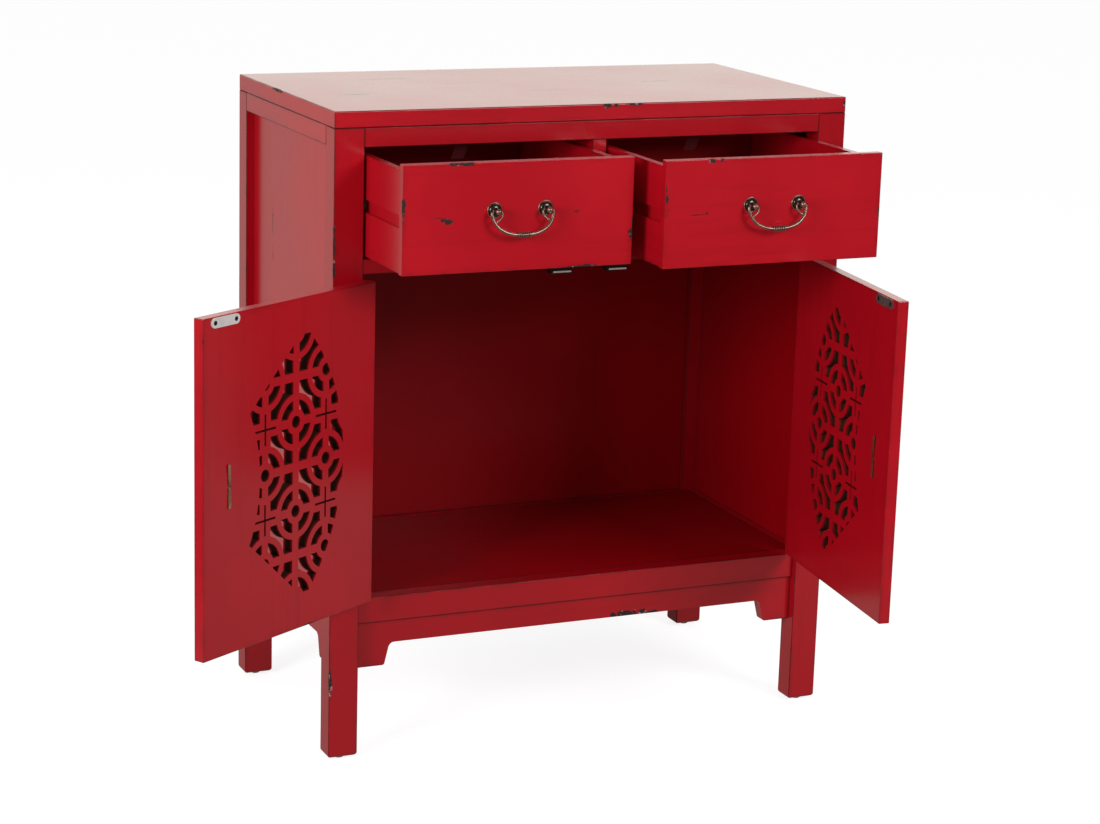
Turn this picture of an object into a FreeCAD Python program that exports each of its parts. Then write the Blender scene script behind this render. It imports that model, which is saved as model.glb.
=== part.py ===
import FreeCAD
import Part
import math
import os

# Entryway cabinet of red lacquered wood: two drawers over two pierced doors.
# Frame: +X to the right, the front faces -Y, +Z up, floor at z = 0 under the leg glides,
# origin at the middle of the cabinet's footprint. Millimetres throughout.

doc = FreeCAD.newDocument("EntrywayCabinet")
sheet = doc.addObject("Spreadsheet::Sheet", "Sizes")

DIMENSIONS = [
    # overall carcass
    ("overall_width", 680.0),
    ("overall_depth", 360.0),
    ("overall_height", 800.0),
    ("top_thickness", 20.0),
    ("top_edge_round", 1.6),
    ("glide_height", 4.0),
    ("glide_radius", 7.0),
    ("glide_foot_radius", 3.9),
    ("glide_shoulder_radius", 6.4),
    ("glide_shoulder_height", 2.2),
    ("glide_nail_length", 14.0),
    ("glide_nail_radius", 1.5),
    # posts and rails
    ("post_width", 37.5),
    ("post_depth", 30.0),
    ("post_edge_round", 1.2),
    ("leg_end_round", 4.5),
    ("board_edge_round", 0.9),
    ("rail_thickness", 22.0),
    ("top_rail_height", 23.0),
    ("mid_rail_height", 18.0),
    ("mid_rail_depth", 40.0),
    ("lower_rail_height", 32.0),
    ("lower_rail_setback", 8.0),
    ("apron_setback", 11.5),
    ("apron_thickness", 16.0),
    ("apron_height", 29.0),
    ("spandrel_drop", 28.6),
    ("spandrel_width", 38.0),
    ("spandrel_flare", 7.0),
    ("spandrel_round", 8.0),
    ("spandrel_corner_round", 3.0),
    ("drawer_opening_height", 132.5),
    ("door_opening_height", 403.5),
    ("divider_width", 18.0),
    # panels
    ("side_panel_recess", 10.0),
    ("side_panel_thickness", 8.0),
    ("back_panel_thickness", 6.0),
    ("floor_thickness", 12.0),
    # drawers
    ("drawer_front_gap", 1.75),
    ("drawer_gap_below", 2.0),
    ("drawer_gap_above", 2.5),
    ("drawer_front_thickness", 11.0),
    ("drawer_depth", 320.0),
    ("drawer_side_thickness", 9.0),
    ("drawer_side_inset", 1.5),
    ("drawer_side_drop", 7.5),
    ("drawer_side_lift", 1.0),
    ("drawer_back_thickness", 9.0),
    ("drawer_bottom_thickness", 4.0),
    ("drawer_bottom_lift", 8.0),
    ("drawer_groove_height", 15.5),
    ("drawer_groove_depth", 5.0),
    ("runner_clearance", 0.4),
    ("runner_end_clearance", 1.5),
    ("left_drawer_out", 120.0),
    ("right_drawer_out", 160.0),
    # drawer stops
    ("stop_width", 16.0),
    ("stop_thickness", 1.4),
    ("stop_offset", 13.0),
    ("stop_plate_height", 17.0),
    ("stop_reach", 20.0),
    ("stop_drop", 24.0),
    # bail pulls
    ("bail_spacing", 64.0),
    ("bail_raise", 7.8),
    ("bail_lean", 11.0),
    ("bail_wire_radius", 1.7),
    ("bail_drop", 28.3),
    ("bail_bow_radius", 80.0),
    ("bail_shoulder_radius", 27.8),
    ("bail_fork_radius", 6.5),
    ("bail_fork_drop", 3.8),
    ("bail_prong_wire_radius", 1.1),
    ("bail_prong_turn", 233.0),
    ("bail_bead_radius", 1.75),
    ("bail_bead_from_bow", 3.8),
    ("bail_tip_swell", 0.15),
    ("bail_pin_radius", 1.0),
    ("bail_pin_clearance", 0.05),
    ("bail_pin_engagement", 1.6),
    ("bail_grip_length", 17.0),
    ("bail_grip_radius", 3.4),
    ("bail_grip_small_radius", 3.1),
    ("bail_grip_core_radius", 2.25),
    ("bail_grip_bead_radius", 0.95),
    ("rosette_radius", 9.4),
    ("rosette_rim", 1.3),
    ("rosette_lip", 0.65),
    ("rosette_dome_radius", 7.6),
    ("rosette_dome_height", 1.9),
    ("rosette_crown_radius", 5.5),
    ("rosette_crown_height", 1.3),
    ("post_ball_radius", 3.6),
    ("post_ball_standoff", 13.0),
    ("post_pivot_standoff", 8.0),
    ("post_neck_radius", 3.0),
    ("post_shank_radius", 2.0),
    ("post_nut_radius", 4.2),
    ("post_nut_height", 3.2),
    ("shank_clearance", 0.05),
    # doors and hinges
    ("door_thickness", 14.0),
    ("door_gap_below", 5.0),
    ("door_gap_above", 4.5),
    ("door_meeting_gap", 3.0),
    ("door_edge_round", 1.2),
    ("left_door_open", 149.5),
    ("right_door_open", 83.3),
    ("hinge_leaf_thickness", 1.0),
    ("hinge_leaf_gap", 0.6),
    ("hinge_leaf_depth", 11.5),
    ("hinge_length", 50.0),
    ("hinge_end_distance", 45.0),
    ("hinge_knuckle_radius", 3.0),
    ("hinge_knuckle_clearance", 0.5),
    ("hinge_knuckle_gap", 0.3),
    ("hinge_pin_radius", 1.5),
    ("hinge_pin_clearance", 0.05),
    ("hinge_pin_head_radius", 2.4),
    ("hinge_pin_head_height", 1.6),
    # wood screws
    ("screw_radius", 1.3),
    ("screw_head_radius", 2.7),
    ("screw_head_height", 1.4),
    ("screw_length", 9.0),
    ("screw_tip_radius", 0.2),
    ("screw_clearance", 0.05),
    ("hinge_screw_spacing", 34.0),
    # pierced lattice of the doors
    ("fret_pitch", 53.1),
    ("fret_centre_from_free_edge", 156.3),
    ("fret_hole_radius", 7.2),
    ("fret_disc_radius", 15.1),
    ("fret_ring_inner", 26.0),
    ("fret_ring_outer", 33.6),
    ("fret_bar_width", 10.4),
    ("fret_cross_width", 18.4),
    ("fret_cross_reach", 26.1),
    ("fret_slot_width", 2.7),
    ("fret_slot_reach", 18.3),
    ("fret_half_height", 162.2),
    ("fret_apex_offset", 16.3),
    ("fret_bow", 68.7),
    ("fret_horn_offset", 79.5),
    ("fret_horn_height", 77.0),
    ("fret_waist_offset", 61.8),
    # strike plates, catches
    ("strike_length", 46.5),
    ("strike_height", 11.6),
    ("strike_thickness", 1.2),
    ("strike_from_free_edge", 36.0),
    ("strike_below_top", 1.0),
    ("strike_screw_spacing", 34.0),
    ("catch_gap", 0.5),
    ("catch_length", 29.0),
    ("catch_depth", 14.0),
    ("catch_height", 16.0),
    ("catch_pole_below", 11.4),
    ("catch_pole_length", 24.0),
    ("catch_pole_height", 8.0),
    ("catch_pole_depth", 6.0),
    ("catch_pole_proud", 0.6),
    ("catch_screw_seat", 5.0),
    ("catch_screw_from_end", 4.3),
    # door pulls
    ("pull_from_free_edge", 43.0),
    ("pull_plate_radius", 21.0),
    ("pull_plate_thickness", 1.6),
    ("pull_boss_radius", 6.5),
    ("pull_boss_end_radius", 3.9),
    ("pull_boss_height", 1.6),
    ("pull_eye_radius", 3.7),
    ("pull_eye_wire", 1.2),
    ("pull_ring_radius", 17.0),
    ("pull_ring_wire", 1.9),
    ("pull_ring_settle", 0.3),
    ("split_pin_radius", 1.9),
    ("split_pin_hole_clearance", 0.1),
    ("split_pin_leg_length", 25.0),
    ("split_pin_leg_width", 4.4),
    ("split_pin_leg_thickness", 1.8),
    ("split_pin_leg_round", 0.7),
    # cutting tools run past a face by this much
    ("overrun", 1.0),
]
GRIP_BEADS = 7
GRIP_LARGE_BEADS = (0, 3, 6)
FRET_COLUMNS = 2
FRET_ROWS = 4
SMALLEST_OPENING = 60.0
MOST_NODES = 60


class Size:
    """A length or angle that keeps its sheet expression and its present value together."""

    def __init__(self, text, number):
        self.text = text
        self.number = number

    def joined(self, sign, other, number, swap=False):
        other_text = other.text if isinstance(other, Size) else repr(float(other))
        pair = (other_text, sign, self.text) if swap else (self.text, sign, other_text)
        return Size("(%s %s %s)" % pair, number)

    def __add__(self, other):
        return self.joined("+", other, self.number + number_of(other))

    def __radd__(self, other):
        return self.joined("+", other, self.number + number_of(other), True)

    def __sub__(self, other):
        return self.joined("-", other, self.number - number_of(other))

    def __rsub__(self, other):
        return self.joined("-", other, number_of(other) - self.number, True)

    def __mul__(self, other):
        return self.joined("*", other, self.number * number_of(other))

    def __rmul__(self, other):
        return self.joined("*", other, self.number * number_of(other), True)

    def __truediv__(self, other):
        return self.joined("/", other, self.number / number_of(other))

    def __neg__(self):
        return self.joined("*", -1.0, -self.number)


def number_of(value):
    return value.number if isinstance(value, Size) else float(value)


size = {}
for row, (alias, value) in enumerate(DIMENSIONS, start=1):
    sheet.set("A%d" % row, alias)
    sheet.set("B%d" % row, "%g" % value)
    sheet.setAlias("B%d" % row, alias)
doc.recompute()
for alias, value in DIMENSIONS:
    size[alias] = Size("Sizes." + alias, float(sheet.get(alias)))


def bind(thing, prop, value):
    """Tie one property to the sheet, or set it where it is a plain number."""
    if isinstance(value, Size):
        thing.setExpression(prop, value.text)
    else:
        target, _, leaf = prop.rpartition(".")
        if target == "Placement.Base":
            base = FreeCAD.Vector(thing.Placement.Base)
            setattr(base, leaf, float(value))
            thing.Placement = FreeCAD.Placement(base, thing.Placement.Rotation)
        else:
            setattr(thing, prop, float(value))


def place(thing, x, y, z):
    bind(thing, "Placement.Base.x", x)
    bind(thing, "Placement.Base.y", y)
    bind(thing, "Placement.Base.z", z)


TURNS = {
    "+Z": FreeCAD.Rotation(FreeCAD.Vector(1, 0, 0), 0),
    "-Z": FreeCAD.Rotation(FreeCAD.Vector(1, 0, 0), 180),
    "+X": FreeCAD.Rotation(FreeCAD.Vector(0, 1, 0), 90),
    "-X": FreeCAD.Rotation(FreeCAD.Vector(0, 1, 0), -90),
    "+Y": FreeCAD.Rotation(FreeCAD.Vector(1, 0, 0), -90),
    "-Y": FreeCAD.Rotation(FreeCAD.Vector(1, 0, 0), 90),
}
STEPS = {
    "+X": (1, 0, 0),
    "-X": (-1, 0, 0),
    "+Y": (0, 1, 0),
    "-Y": (0, -1, 0),
    "+Z": (0, 0, 1),
    "-Z": (0, 0, -1),
}
counter = {"made": 0}


def fresh(kind, name):
    counter["made"] += 1
    return doc.addObject(kind, "%s_%d" % (name, counter["made"]))


def box(name, x, y, z, dx, dy, dz):
    thing = fresh("Part::Box", name)
    bind(thing, "Length", dx)
    bind(thing, "Width", dy)
    bind(thing, "Height", dz)
    place(thing, x, y, z)
    return thing


def span(name, x, y, z):
    """Box between pairs of planes, each axis given as (low, high)."""
    return box(name, x[0], y[0], z[0], x[1] - x[0], y[1] - y[0], z[1] - z[0])


def turned(thing, axis):
    thing.Placement = FreeCAD.Placement(thing.Placement.Base, TURNS[axis])
    return thing


def rod(name, axis, x, y, z, radius, length):
    thing = turned(fresh("Part::Cylinder", name), axis)
    bind(thing, "Radius", radius)
    bind(thing, "Height", length)
    place(thing, x, y, z)
    return thing


def taper(name, axis, x, y, z, radius_start, radius_end, length):
    thing = turned(fresh("Part::Cone", name), axis)
    bind(thing, "Radius1", radius_start)
    bind(thing, "Radius2", radius_end)
    bind(thing, "Height", length)
    place(thing, x, y, z)
    return thing


def ball(name, x, y, z, radius):
    thing = fresh("Part::Sphere", name)
    bind(thing, "Radius", radius)
    place(thing, x, y, z)
    return thing


def ring(name, axis, x, y, z, radius, wire):
    thing = turned(fresh("Part::Torus", name), axis)
    bind(thing, "Radius1", radius)
    bind(thing, "Radius2", wire)
    place(thing, x, y, z)
    return thing


def fused(name, members):
    thing = fresh("Part::MultiFuse", name)
    thing.Shapes = members
    return thing


def cut(name, base, tools):
    thing = fresh("Part::Cut", name)
    thing.Base = base
    thing.Tool = tools[0] if len(tools) == 1 else fused(name + "Tools", tools)
    return thing


def grouped(name, members):
    thing = fresh("Part::Compound", name)
    thing.Links = members
    return thing


def rounded(name, base, radius, chosen=None):
    """Round the edges of a plain board; chosen(edge) picks them and gives a radius or None."""
    doc.recompute()
    edges = []
    for index, edge in enumerate(base.Shape.Edges, start=1):
        edge_radius = chosen(edge) if chosen else radius.number
        if edge_radius:
            edges.append((index, edge_radius, edge_radius))
    thing = fresh("Part::Fillet", name)
    thing.Base = base
    thing.Edges = edges
    return thing


nodes = []


def node(label, thing):
    thing.Label = label
    nodes.append((label, thing))
    return thing


# Named planes of the carcass, each one written once from the driving sizes

half_width = size["overall_width"] / 2
half_depth = size["overall_depth"] / 2
front = -half_depth
back = half_depth
inner = half_width - size["post_width"]
post_back = half_depth - size["post_depth"]
z_legs = size["glide_height"]
z_top_under = size["overall_height"] - size["top_thickness"]
z_top_rail = z_top_under - size["top_rail_height"]
z_mid_top = z_top_rail - size["drawer_opening_height"]
z_mid_under = z_mid_top - size["mid_rail_height"]
z_lower_top = z_mid_under - size["door_opening_height"]
z_lower_under = z_lower_top - size["lower_rail_height"]
z_apron = z_lower_under - size["apron_height"]
z_spandrel = z_apron - size["spandrel_drop"]
rail_back = front + size["rail_thickness"]
rear_rail_front = back - size["rail_thickness"]
half_divider = size["divider_width"] / 2
edge = size["board_edge_round"]

# Screws are one kind: a countersunk head, a plain shank and a pointed end


def along(axis, start, distance):
    """Place that lies the given distance from start, along a signed axis."""
    return [value + distance * step if step else value for value, step in zip(start, STEPS[axis])]


def screw(name, axis, x, y, z):
    """Wood screw whose head face lies at (x, y, z) and whose point looks along axis."""
    radius = size["screw_radius"]
    neck = along(axis, (x, y, z), size["screw_head_height"])
    tip = along(axis, (x, y, z), size["screw_length"] - 2 * radius)
    shank_length = size["screw_length"] - size["screw_head_height"] - 2 * radius
    head = taper(name + "Head", axis, x, y, z, size["screw_head_radius"], radius, size["screw_head_height"])
    shank = rod(name + "Shank", axis, *neck, radius, shank_length)
    point = taper(name + "Point", axis, *tip, radius, size["screw_tip_radius"], 2 * radius)
    return fused(name, [head, shank, point])


def screw_hole(name, axis, x, y, z):
    """Room for that screw, wider by the named clearance, starting at the head's face."""
    room = size["screw_clearance"]
    head = taper(name + "Seat", axis, x, y, z, size["screw_head_radius"] + room,
                 size["screw_radius"] + room, size["screw_head_height"])
    shank = rod(name + "Bore", axis, x, y, z, size["screw_radius"] + room, size["screw_length"] + room)
    return fused(name, [head, shank])


# Top board, four posts that run down into the legs, and their nailed glides

top_blank = span("TopBlank", (-half_width, half_width), (front, back), (z_top_under, size["overall_height"]))
node("top_panel", rounded("TopBoard", top_blank, size["top_edge_round"]))


def post(x_side, y_side):
    """Planes of one post, the post with its rounded foot, and the room for its glide's nail."""
    x = (-half_width, -inner) if x_side < 0 else (inner, half_width)
    y = (front, -post_back) if y_side < 0 else (post_back, back)
    blank = span("PostBlank", x, y, (z_legs, z_top_under))

    def radius_of(side):
        middle = side.BoundBox
        if middle.ZMax < z_legs.number + 0.01:
            return size["leg_end_round"].number
        if middle.ZLength > 1.0:
            return size["post_edge_round"].number
        return None
    shaped = rounded("PostShaped", blank, size["post_edge_round"], radius_of)
    nail = rod("NailHole", "+Z", (x[0] + x[1]) / 2, (y[0] + y[1]) / 2, z_legs,
               size["glide_nail_radius"] + size["screw_clearance"],
               size["glide_nail_length"] + size["screw_clearance"])
    return x, y, shaped, nail


glides = []


def glide(x, y):
    """Domed nail-on glide: a cap flattened at the floor and a nail up into the leg."""
    height = size["glide_height"]
    shoulder = size["glide_shoulder_height"]
    shoulder_radius = size["glide_shoulder_radius"]
    mid_x = (x[0] + x[1]) / 2
    mid_y = (y[0] + y[1]) / 2
    foot = taper("GlideFoot", "+Z", mid_x, mid_y, 0.0, size["glide_foot_radius"], shoulder_radius, shoulder)
    rim = taper("GlideRim", "+Z", mid_x, mid_y, shoulder, shoulder_radius, size["glide_radius"],
                height - shoulder)
    nail = rod("GlideNail", "+Z", mid_x, mid_y, height, size["glide_nail_radius"], size["glide_nail_length"])
    glides.append(fused("Glide", [foot, rim, nail]))


# Hinge pivots stand just in front of the posts' inner corners

pivot_x = inner - size["hinge_leaf_thickness"] - size["hinge_leaf_gap"] / 2
pivot_y = front - size["hinge_knuckle_radius"] - size["hinge_knuckle_clearance"]
z_door_low = z_lower_top + size["door_gap_below"]
z_door_high = z_mid_under - size["door_gap_above"]
z_door_mid = (z_door_low + z_door_high) / 2
hinge_heights = [z_door_low + size["hinge_end_distance"],
                 z_door_high - size["hinge_end_distance"] - size["hinge_length"]]
leaf_front = size["hinge_knuckle_radius"] + size["hinge_knuckle_gap"]
leaf_mid = leaf_front + size["hinge_leaf_depth"] / 2
screw_heights = []
for hinge_low in hinge_heights:
    hinge_mid = hinge_low + size["hinge_length"] / 2
    screw_heights.append(hinge_mid - size["hinge_screw_spacing"] / 2)
    screw_heights.append(hinge_mid + size["hinge_screw_spacing"] / 2)

carcass_screws = []
for label, x_side, y_side in (("front_left_post", -1, -1), ("front_right_post", 1, -1),
                              ("rear_left_post", -1, 1), ("rear_right_post", 1, 1)):
    x, y, shaped, nail = post(x_side, y_side)
    tools = [nail]
    if y_side < 0:
        axis = "-X" if x_side < 0 else "+X"
        face = inner - size["hinge_leaf_thickness"]
        for height in screw_heights:
            spot = ((face if x_side > 0 else -face), pivot_y + leaf_mid, height)
            tools.append(screw_hole("HingeHole", axis, *spot))
            carcass_screws.append(screw("HingeScrew", axis, *spot))
    node(label, cut("Post", shaped, tools))
    glide(x, y)
node("leg_glides", grouped("Glides", glides))

# Rails across the front: top rail, mid rail under the drawers, divider, lower rail

rail_x = (-inner, inner)
bay_mid = (inner + half_divider) / 2
stop_x = [-bay_mid - size["stop_offset"], bay_mid - size["stop_offset"]]
stop_screw_z = z_top_rail + size["stop_plate_height"] / 2 + size["screw_head_radius"]
stop_face = rail_back + size["stop_thickness"]
top_rail_blank = rounded("FrontTopRailBoard",
                         span("FrontTopRail", rail_x, (front, rail_back), (z_top_rail, z_top_under)), edge)
stop_holes = []
for x in stop_x:
    stop_holes.append(screw_hole("StopHole", "-Y", x, stop_face, stop_screw_z))
    carcass_screws.append(screw("StopScrew", "-Y", x, stop_face, stop_screw_z))
node("front_top_rail", cut("FrontTopRailCut", top_rail_blank, stop_holes))

shut_door_rear = front + size["door_thickness"]
catch_front = shut_door_rear + size["strike_thickness"] + size["catch_gap"] + size["catch_pole_proud"]
catch_x = size["door_meeting_gap"] / 2 + size["strike_from_free_edge"]
catch_screw_y = catch_front + size["catch_pole_depth"] + size["screw_head_radius"] + size["catch_pole_proud"]
catch_screw_z = z_mid_under - size["catch_screw_seat"]
mid_rail_y = (front, front + size["mid_rail_depth"])
mid_rail_blank = rounded("MidRailBoard", span("MidRail", rail_x, mid_rail_y, (z_mid_under, z_mid_top)), edge)
catch_screw_reach = size["catch_length"] / 2 - size["catch_screw_from_end"]
catch_spots = []
for side in (-1, 1):
    for offset in (-1, 1):
        catch_spots.append((side * catch_x + offset * catch_screw_reach, catch_screw_y, catch_screw_z))
catch_holes = [screw_hole("CatchHole", "+Z", *spot) for spot in catch_spots]
carcass_screws.extend([screw("CatchScrew", "+Z", *spot) for spot in catch_spots])
node("mid_rail", cut("MidRailCut", mid_rail_blank, catch_holes))
divider_y = (front, rail_back)
node("drawer_divider", rounded("DividerBoard",
     span("Divider", (-half_divider, half_divider), divider_y, (z_mid_top, z_top_rail)), edge))
lower_front = front + size["lower_rail_setback"]
lower_y = (lower_front, lower_front + size["rail_thickness"])
node("lower_front_rail", rounded("LowerRailBoard",
     span("LowerRail", rail_x, lower_y, (z_lower_under, z_lower_top)), edge))

# Magnetic catches under the mid rail: a plastic case and two steel pole plates each

housings = []
poles = []
slot_room = size["screw_clearance"]
pole_mid = z_mid_under - size["catch_pole_below"]
pole_half = size["catch_pole_length"] / 2
pole_step = size["catch_pole_height"] / 4
pole_thick = size["catch_pole_height"] / 8
pole_front = catch_front - size["catch_pole_proud"]
pole_back = catch_front + size["catch_pole_depth"]
for index, side in enumerate((-1, 1)):
    mid = side * catch_x
    case_x = (mid - size["catch_length"] / 2, mid + size["catch_length"] / 2)
    case_y = (catch_front, catch_front + size["catch_depth"])
    case = span("CatchCase", case_x, case_y, (z_mid_under - size["catch_height"], z_mid_under))
    pole_x = (mid - pole_half, mid + pole_half)
    slot_x = (mid - pole_half - slot_room, mid + pole_half + slot_room)
    slot_y = (pole_front, pole_back + slot_room)
    tools = []
    for level in (-1, 1):
        low = pole_mid + level * pole_step - pole_thick
        high = pole_mid + level * pole_step + pole_thick
        poles.append(span("CatchPole", pole_x, (pole_front, pole_back), (low, high)))
        tools.append(span("CatchSlot", slot_x, slot_y, (low - slot_room, high + slot_room)))
    for x, y, z in catch_spots[2 * index:2 * index + 2]:
        tools.append(screw_hole("CatchBore", "+Z", x, y, z))
        tools.append(rod("CatchCounterbore", "+Z", x, y, z_mid_under - size["catch_height"],
                         size["screw_head_radius"] + size["screw_clearance"],
                         size["catch_height"] - size["catch_screw_seat"]))
    housings.append(cut("CatchHousing", rounded("CatchBody", case, edge), tools))
node("catch_housings", grouped("CatchHousings", housings))
node("catch_pole_plates", grouped("CatchPoles", poles))

# Drawer stops: a bent strip on the back of the top rail that slopes down and back into each drawer


def stop_tab(x):
    """Plate against the rail, then a tongue that falls by stop_drop while it runs back by stop_reach."""
    half = size["stop_width"].number / 2
    thick = size["stop_thickness"].number
    y_face = rail_back.number
    z_bend = z_top_rail.number
    z_head = z_bend + size["stop_plate_height"].number + size["screw_head_radius"].number
    reach = size["stop_reach"].number
    drop = size["stop_drop"].number
    slope = math.hypot(reach, drop)
    lift_y = thick * drop / slope
    lift_z = thick * reach / slope
    mitre = thick * math.tan(0.5 * math.atan2(reach, drop))
    profile = [(y_face, z_head), (y_face, z_bend), (y_face + reach, z_bend - drop),
               (y_face + reach + lift_y, z_bend - drop + lift_z), (y_face + thick, z_bend + mitre),
               (y_face + thick, z_head)]
    points = [FreeCAD.Vector(x.number - half, y, z) for y, z in profile]
    face = Part.Face(Part.makePolygon(points + points[:1]))
    thing = fresh("Part::Feature", "StopStrip")
    thing.Shape = face.extrude(FreeCAD.Vector(2 * half, 0, 0))
    return thing


tabs = []
for x in stop_x:
    tabs.append(cut("StopTab", stop_tab(x), [screw_hole("StopTabHole", "-Y", x, stop_face, stop_screw_z)]))
node("drawer_stops", grouped("DrawerStops", tabs))

# Aprons with a flared spandrel at each end, front and both sides


def apron(name, half_length, low_face):
    """Strip with two flared spandrels, drawn along X with its outer face at y = low_face."""
    thick = size["apron_thickness"]
    strip = box(name + "Strip", -half_length, low_face, z_apron, 2 * half_length, thick, size["apron_height"])
    ends = []
    for side in (-1, 1):
        wedge = fresh("Part::Wedge", name + "Spandrel")
        wedge.Placement = FreeCAD.Placement(FreeCAD.Vector(), TURNS["-Y"])
        wide = size["spandrel_width"]
        flare = size["spandrel_flare"]
        limits = {
            "Ymin": z_spandrel, "Ymax": z_apron,
            "Zmin": -(low_face + thick), "Zmax": -1.0 * low_face,
            "Z2min": -(low_face + thick), "Z2max": -1.0 * low_face,
            "Xmin": -half_length if side < 0 else half_length - wide,
            "Xmax": -half_length + wide if side < 0 else half_length,
            "X2min": -half_length if side < 0 else half_length - wide - flare,
            "X2max": -half_length + wide + flare if side < 0 else half_length,
        }
        for prop in ("Xmax", "X2max", "Ymax", "Zmax", "Z2max", "Xmin", "X2min", "Ymin", "Zmin", "Z2min"):
            setattr(wedge, prop, limits[prop].number)
        for prop, value in limits.items():
            bind(wedge, prop, value)
        ends.append(wedge)
    blank = fused(name + "Blank", [strip] + ends)
    blank.Refine = True
    notch = half_length.number - size["spandrel_width"].number

    def radius_of(side):
        limits = side.BoundBox
        if limits.YLength < 1.0 or limits.XLength > 0.01 or limits.ZLength > 0.01:
            return None
        if abs(abs(limits.XMin) - (notch - size["spandrel_flare"].number)) < 0.01:
            return size["spandrel_round"].number
        if abs(abs(limits.XMin) - notch) < 0.01:
            return size["spandrel_corner_round"].number
        return None
    return rounded(name + "Shaped", blank, size["spandrel_round"], radius_of)


apron_back = size["apron_setback"]
node("front_apron", apron("FrontApron", inner, front + apron_back))
for label, quarter in (("left_apron", -90.0), ("right_apron", 90.0)):
    piece = apron("SideApron", post_back, -(half_width - apron_back))
    piece.Placement = FreeCAD.Placement(FreeCAD.Vector(), FreeCAD.Rotation(FreeCAD.Vector(0, 0, 1), quarter))
    node(label, piece)

# Side frames: top rail, bottom rail and a recessed panel between the posts

side_y = (-post_back, post_back)
panel_out = half_width - size["side_panel_recess"]
panel_in = panel_out - size["side_panel_thickness"]
lower_out = half_width - size["lower_rail_setback"]
lower_in = lower_out - size["rail_thickness"]


def mirrored(side, pair):
    low, high = pair
    return (low, high) if side > 0 else (-high, -low)


for side, word in ((-1, "left"), (1, "right")):
    top_x = mirrored(side, (half_width - size["rail_thickness"], half_width))
    node(word + "_top_rail",
         rounded("SideTopRailBoard", span("SideTopRail", top_x, side_y, (z_top_rail, z_top_under)), edge))
    low_x = mirrored(side, (lower_in, lower_out))
    node(word + "_bottom_rail",
         rounded("SideLowRailBoard", span("SideLowRail", low_x, side_y, (z_lower_under, z_lower_top)), edge))
    panel_x = mirrored(side, (panel_in, panel_out))
    node(word + "_side_panel", span("SidePanel", panel_x, side_y, (z_lower_top, z_top_rail)))

# Back frame, back panel, cupboard floor and the partition between the drawers

rear_y = (rear_rail_front, back)
node("rear_top_rail", span("RearTopRail", rail_x, rear_y, (z_top_rail, z_top_under)))
node("rear_bottom_rail", span("RearBottomRail", rail_x, rear_y, (z_lower_under, z_lower_top)))
back_panel_y = (rear_rail_front, rear_rail_front + size["back_panel_thickness"])
node("back_panel", span("BackPanel", rail_x, back_panel_y, (z_lower_top, z_top_rail)))
floor_x = (-lower_in, lower_in)
floor_y = (lower_front + size["rail_thickness"], post_back)
node("cabinet_floor", span("Floor", floor_x, floor_y, (z_lower_top - size["floor_thickness"], z_lower_top)))
partition_x = (-half_divider, half_divider)
partition_y = (rail_back, rear_rail_front)
node("drawer_partition", span("Partition", partition_x, partition_y, (z_mid_top, z_top_under)))

# Drawer runners: strips that ride in the grooves of the drawer sides

z_front_low = z_mid_top + size["drawer_gap_below"]
z_front_high = z_top_rail - size["drawer_gap_above"]
z_side_low = z_front_low + size["drawer_side_lift"]
z_side_high = z_front_high - size["drawer_side_drop"]
z_groove = (z_side_low + z_side_high) / 2
groove_half = size["drawer_groove_height"] / 2
side_gap = size["drawer_front_gap"] + size["drawer_side_inset"]
runner_thick = side_gap + size["drawer_groove_depth"] - size["runner_clearance"]
runner_y = (front + size["drawer_front_thickness"] + size["runner_end_clearance"], rear_rail_front)
runner_half = groove_half - size["runner_clearance"]
runner_z = (z_groove - runner_half, z_groove + runner_half)
runners = []
for wall, inward in ((-inner, 1), (-half_divider, -1), (half_divider, 1), (inner, -1)):
    pair = (wall, wall + runner_thick) if inward > 0 else (wall - runner_thick, wall)
    runners.append(span("Runner", pair, runner_y, runner_z))
node("drawer_runners", grouped("DrawerRunners", runners))

# Drawers: front, two grooved sides, back and bottom, each with a bail pull


def bail_mount(x, y_face, z):
    """Rosette, cross-bored neck and ball, and a shank with its nut inside the drawer."""
    y_lip = y_face - size["rosette_rim"]
    y_dome = y_lip - size["rosette_lip"]
    y_crown = y_dome - size["rosette_dome_height"]
    rim = rod("RosetteRim", "-Y", x, y_face, z, size["rosette_radius"], size["rosette_rim"])
    lip = taper("RosetteLip", "-Y", x, y_lip, z, size["rosette_radius"], size["rosette_dome_radius"],
                size["rosette_lip"])
    dome = taper("RosetteDome", "-Y", x, y_dome, z, size["rosette_dome_radius"], size["rosette_crown_radius"],
                 size["rosette_dome_height"])
    crown = taper("RosetteCrown", "-Y", x, y_crown, z, size["rosette_crown_radius"], size["post_neck_radius"],
                  size["rosette_crown_height"])
    neck = rod("PostNeck", "-Y", x, y_face, z, size["post_neck_radius"], size["post_ball_standoff"])
    knob = ball("PostBall", x, y_face - size["post_ball_standoff"], z, size["post_ball_radius"])
    shank = rod("PostShank", "+Y", x, y_face, z, size["post_shank_radius"],
                size["drawer_front_thickness"] + size["post_nut_height"])
    nut = rod("PostNut", "+Y", x, y_face + size["drawer_front_thickness"], z,
              size["post_nut_radius"], size["post_nut_height"])
    bore = rod("PostBore", "+X", x - 2 * size["post_neck_radius"], y_face - size["post_pivot_standoff"], z,
               size["bail_pin_radius"] + size["bail_pin_clearance"], 4 * size["post_neck_radius"])
    return cut("BailMount", fused("BailMountBody", [rim, lip, dome, crown, neck, knob, shank, nut]), [bore])


def in_plane(x, z):
    return FreeCAD.Vector(x, 0, z)


def flipped(place, side):
    return in_plane(side * place.x, place.z)


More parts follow.
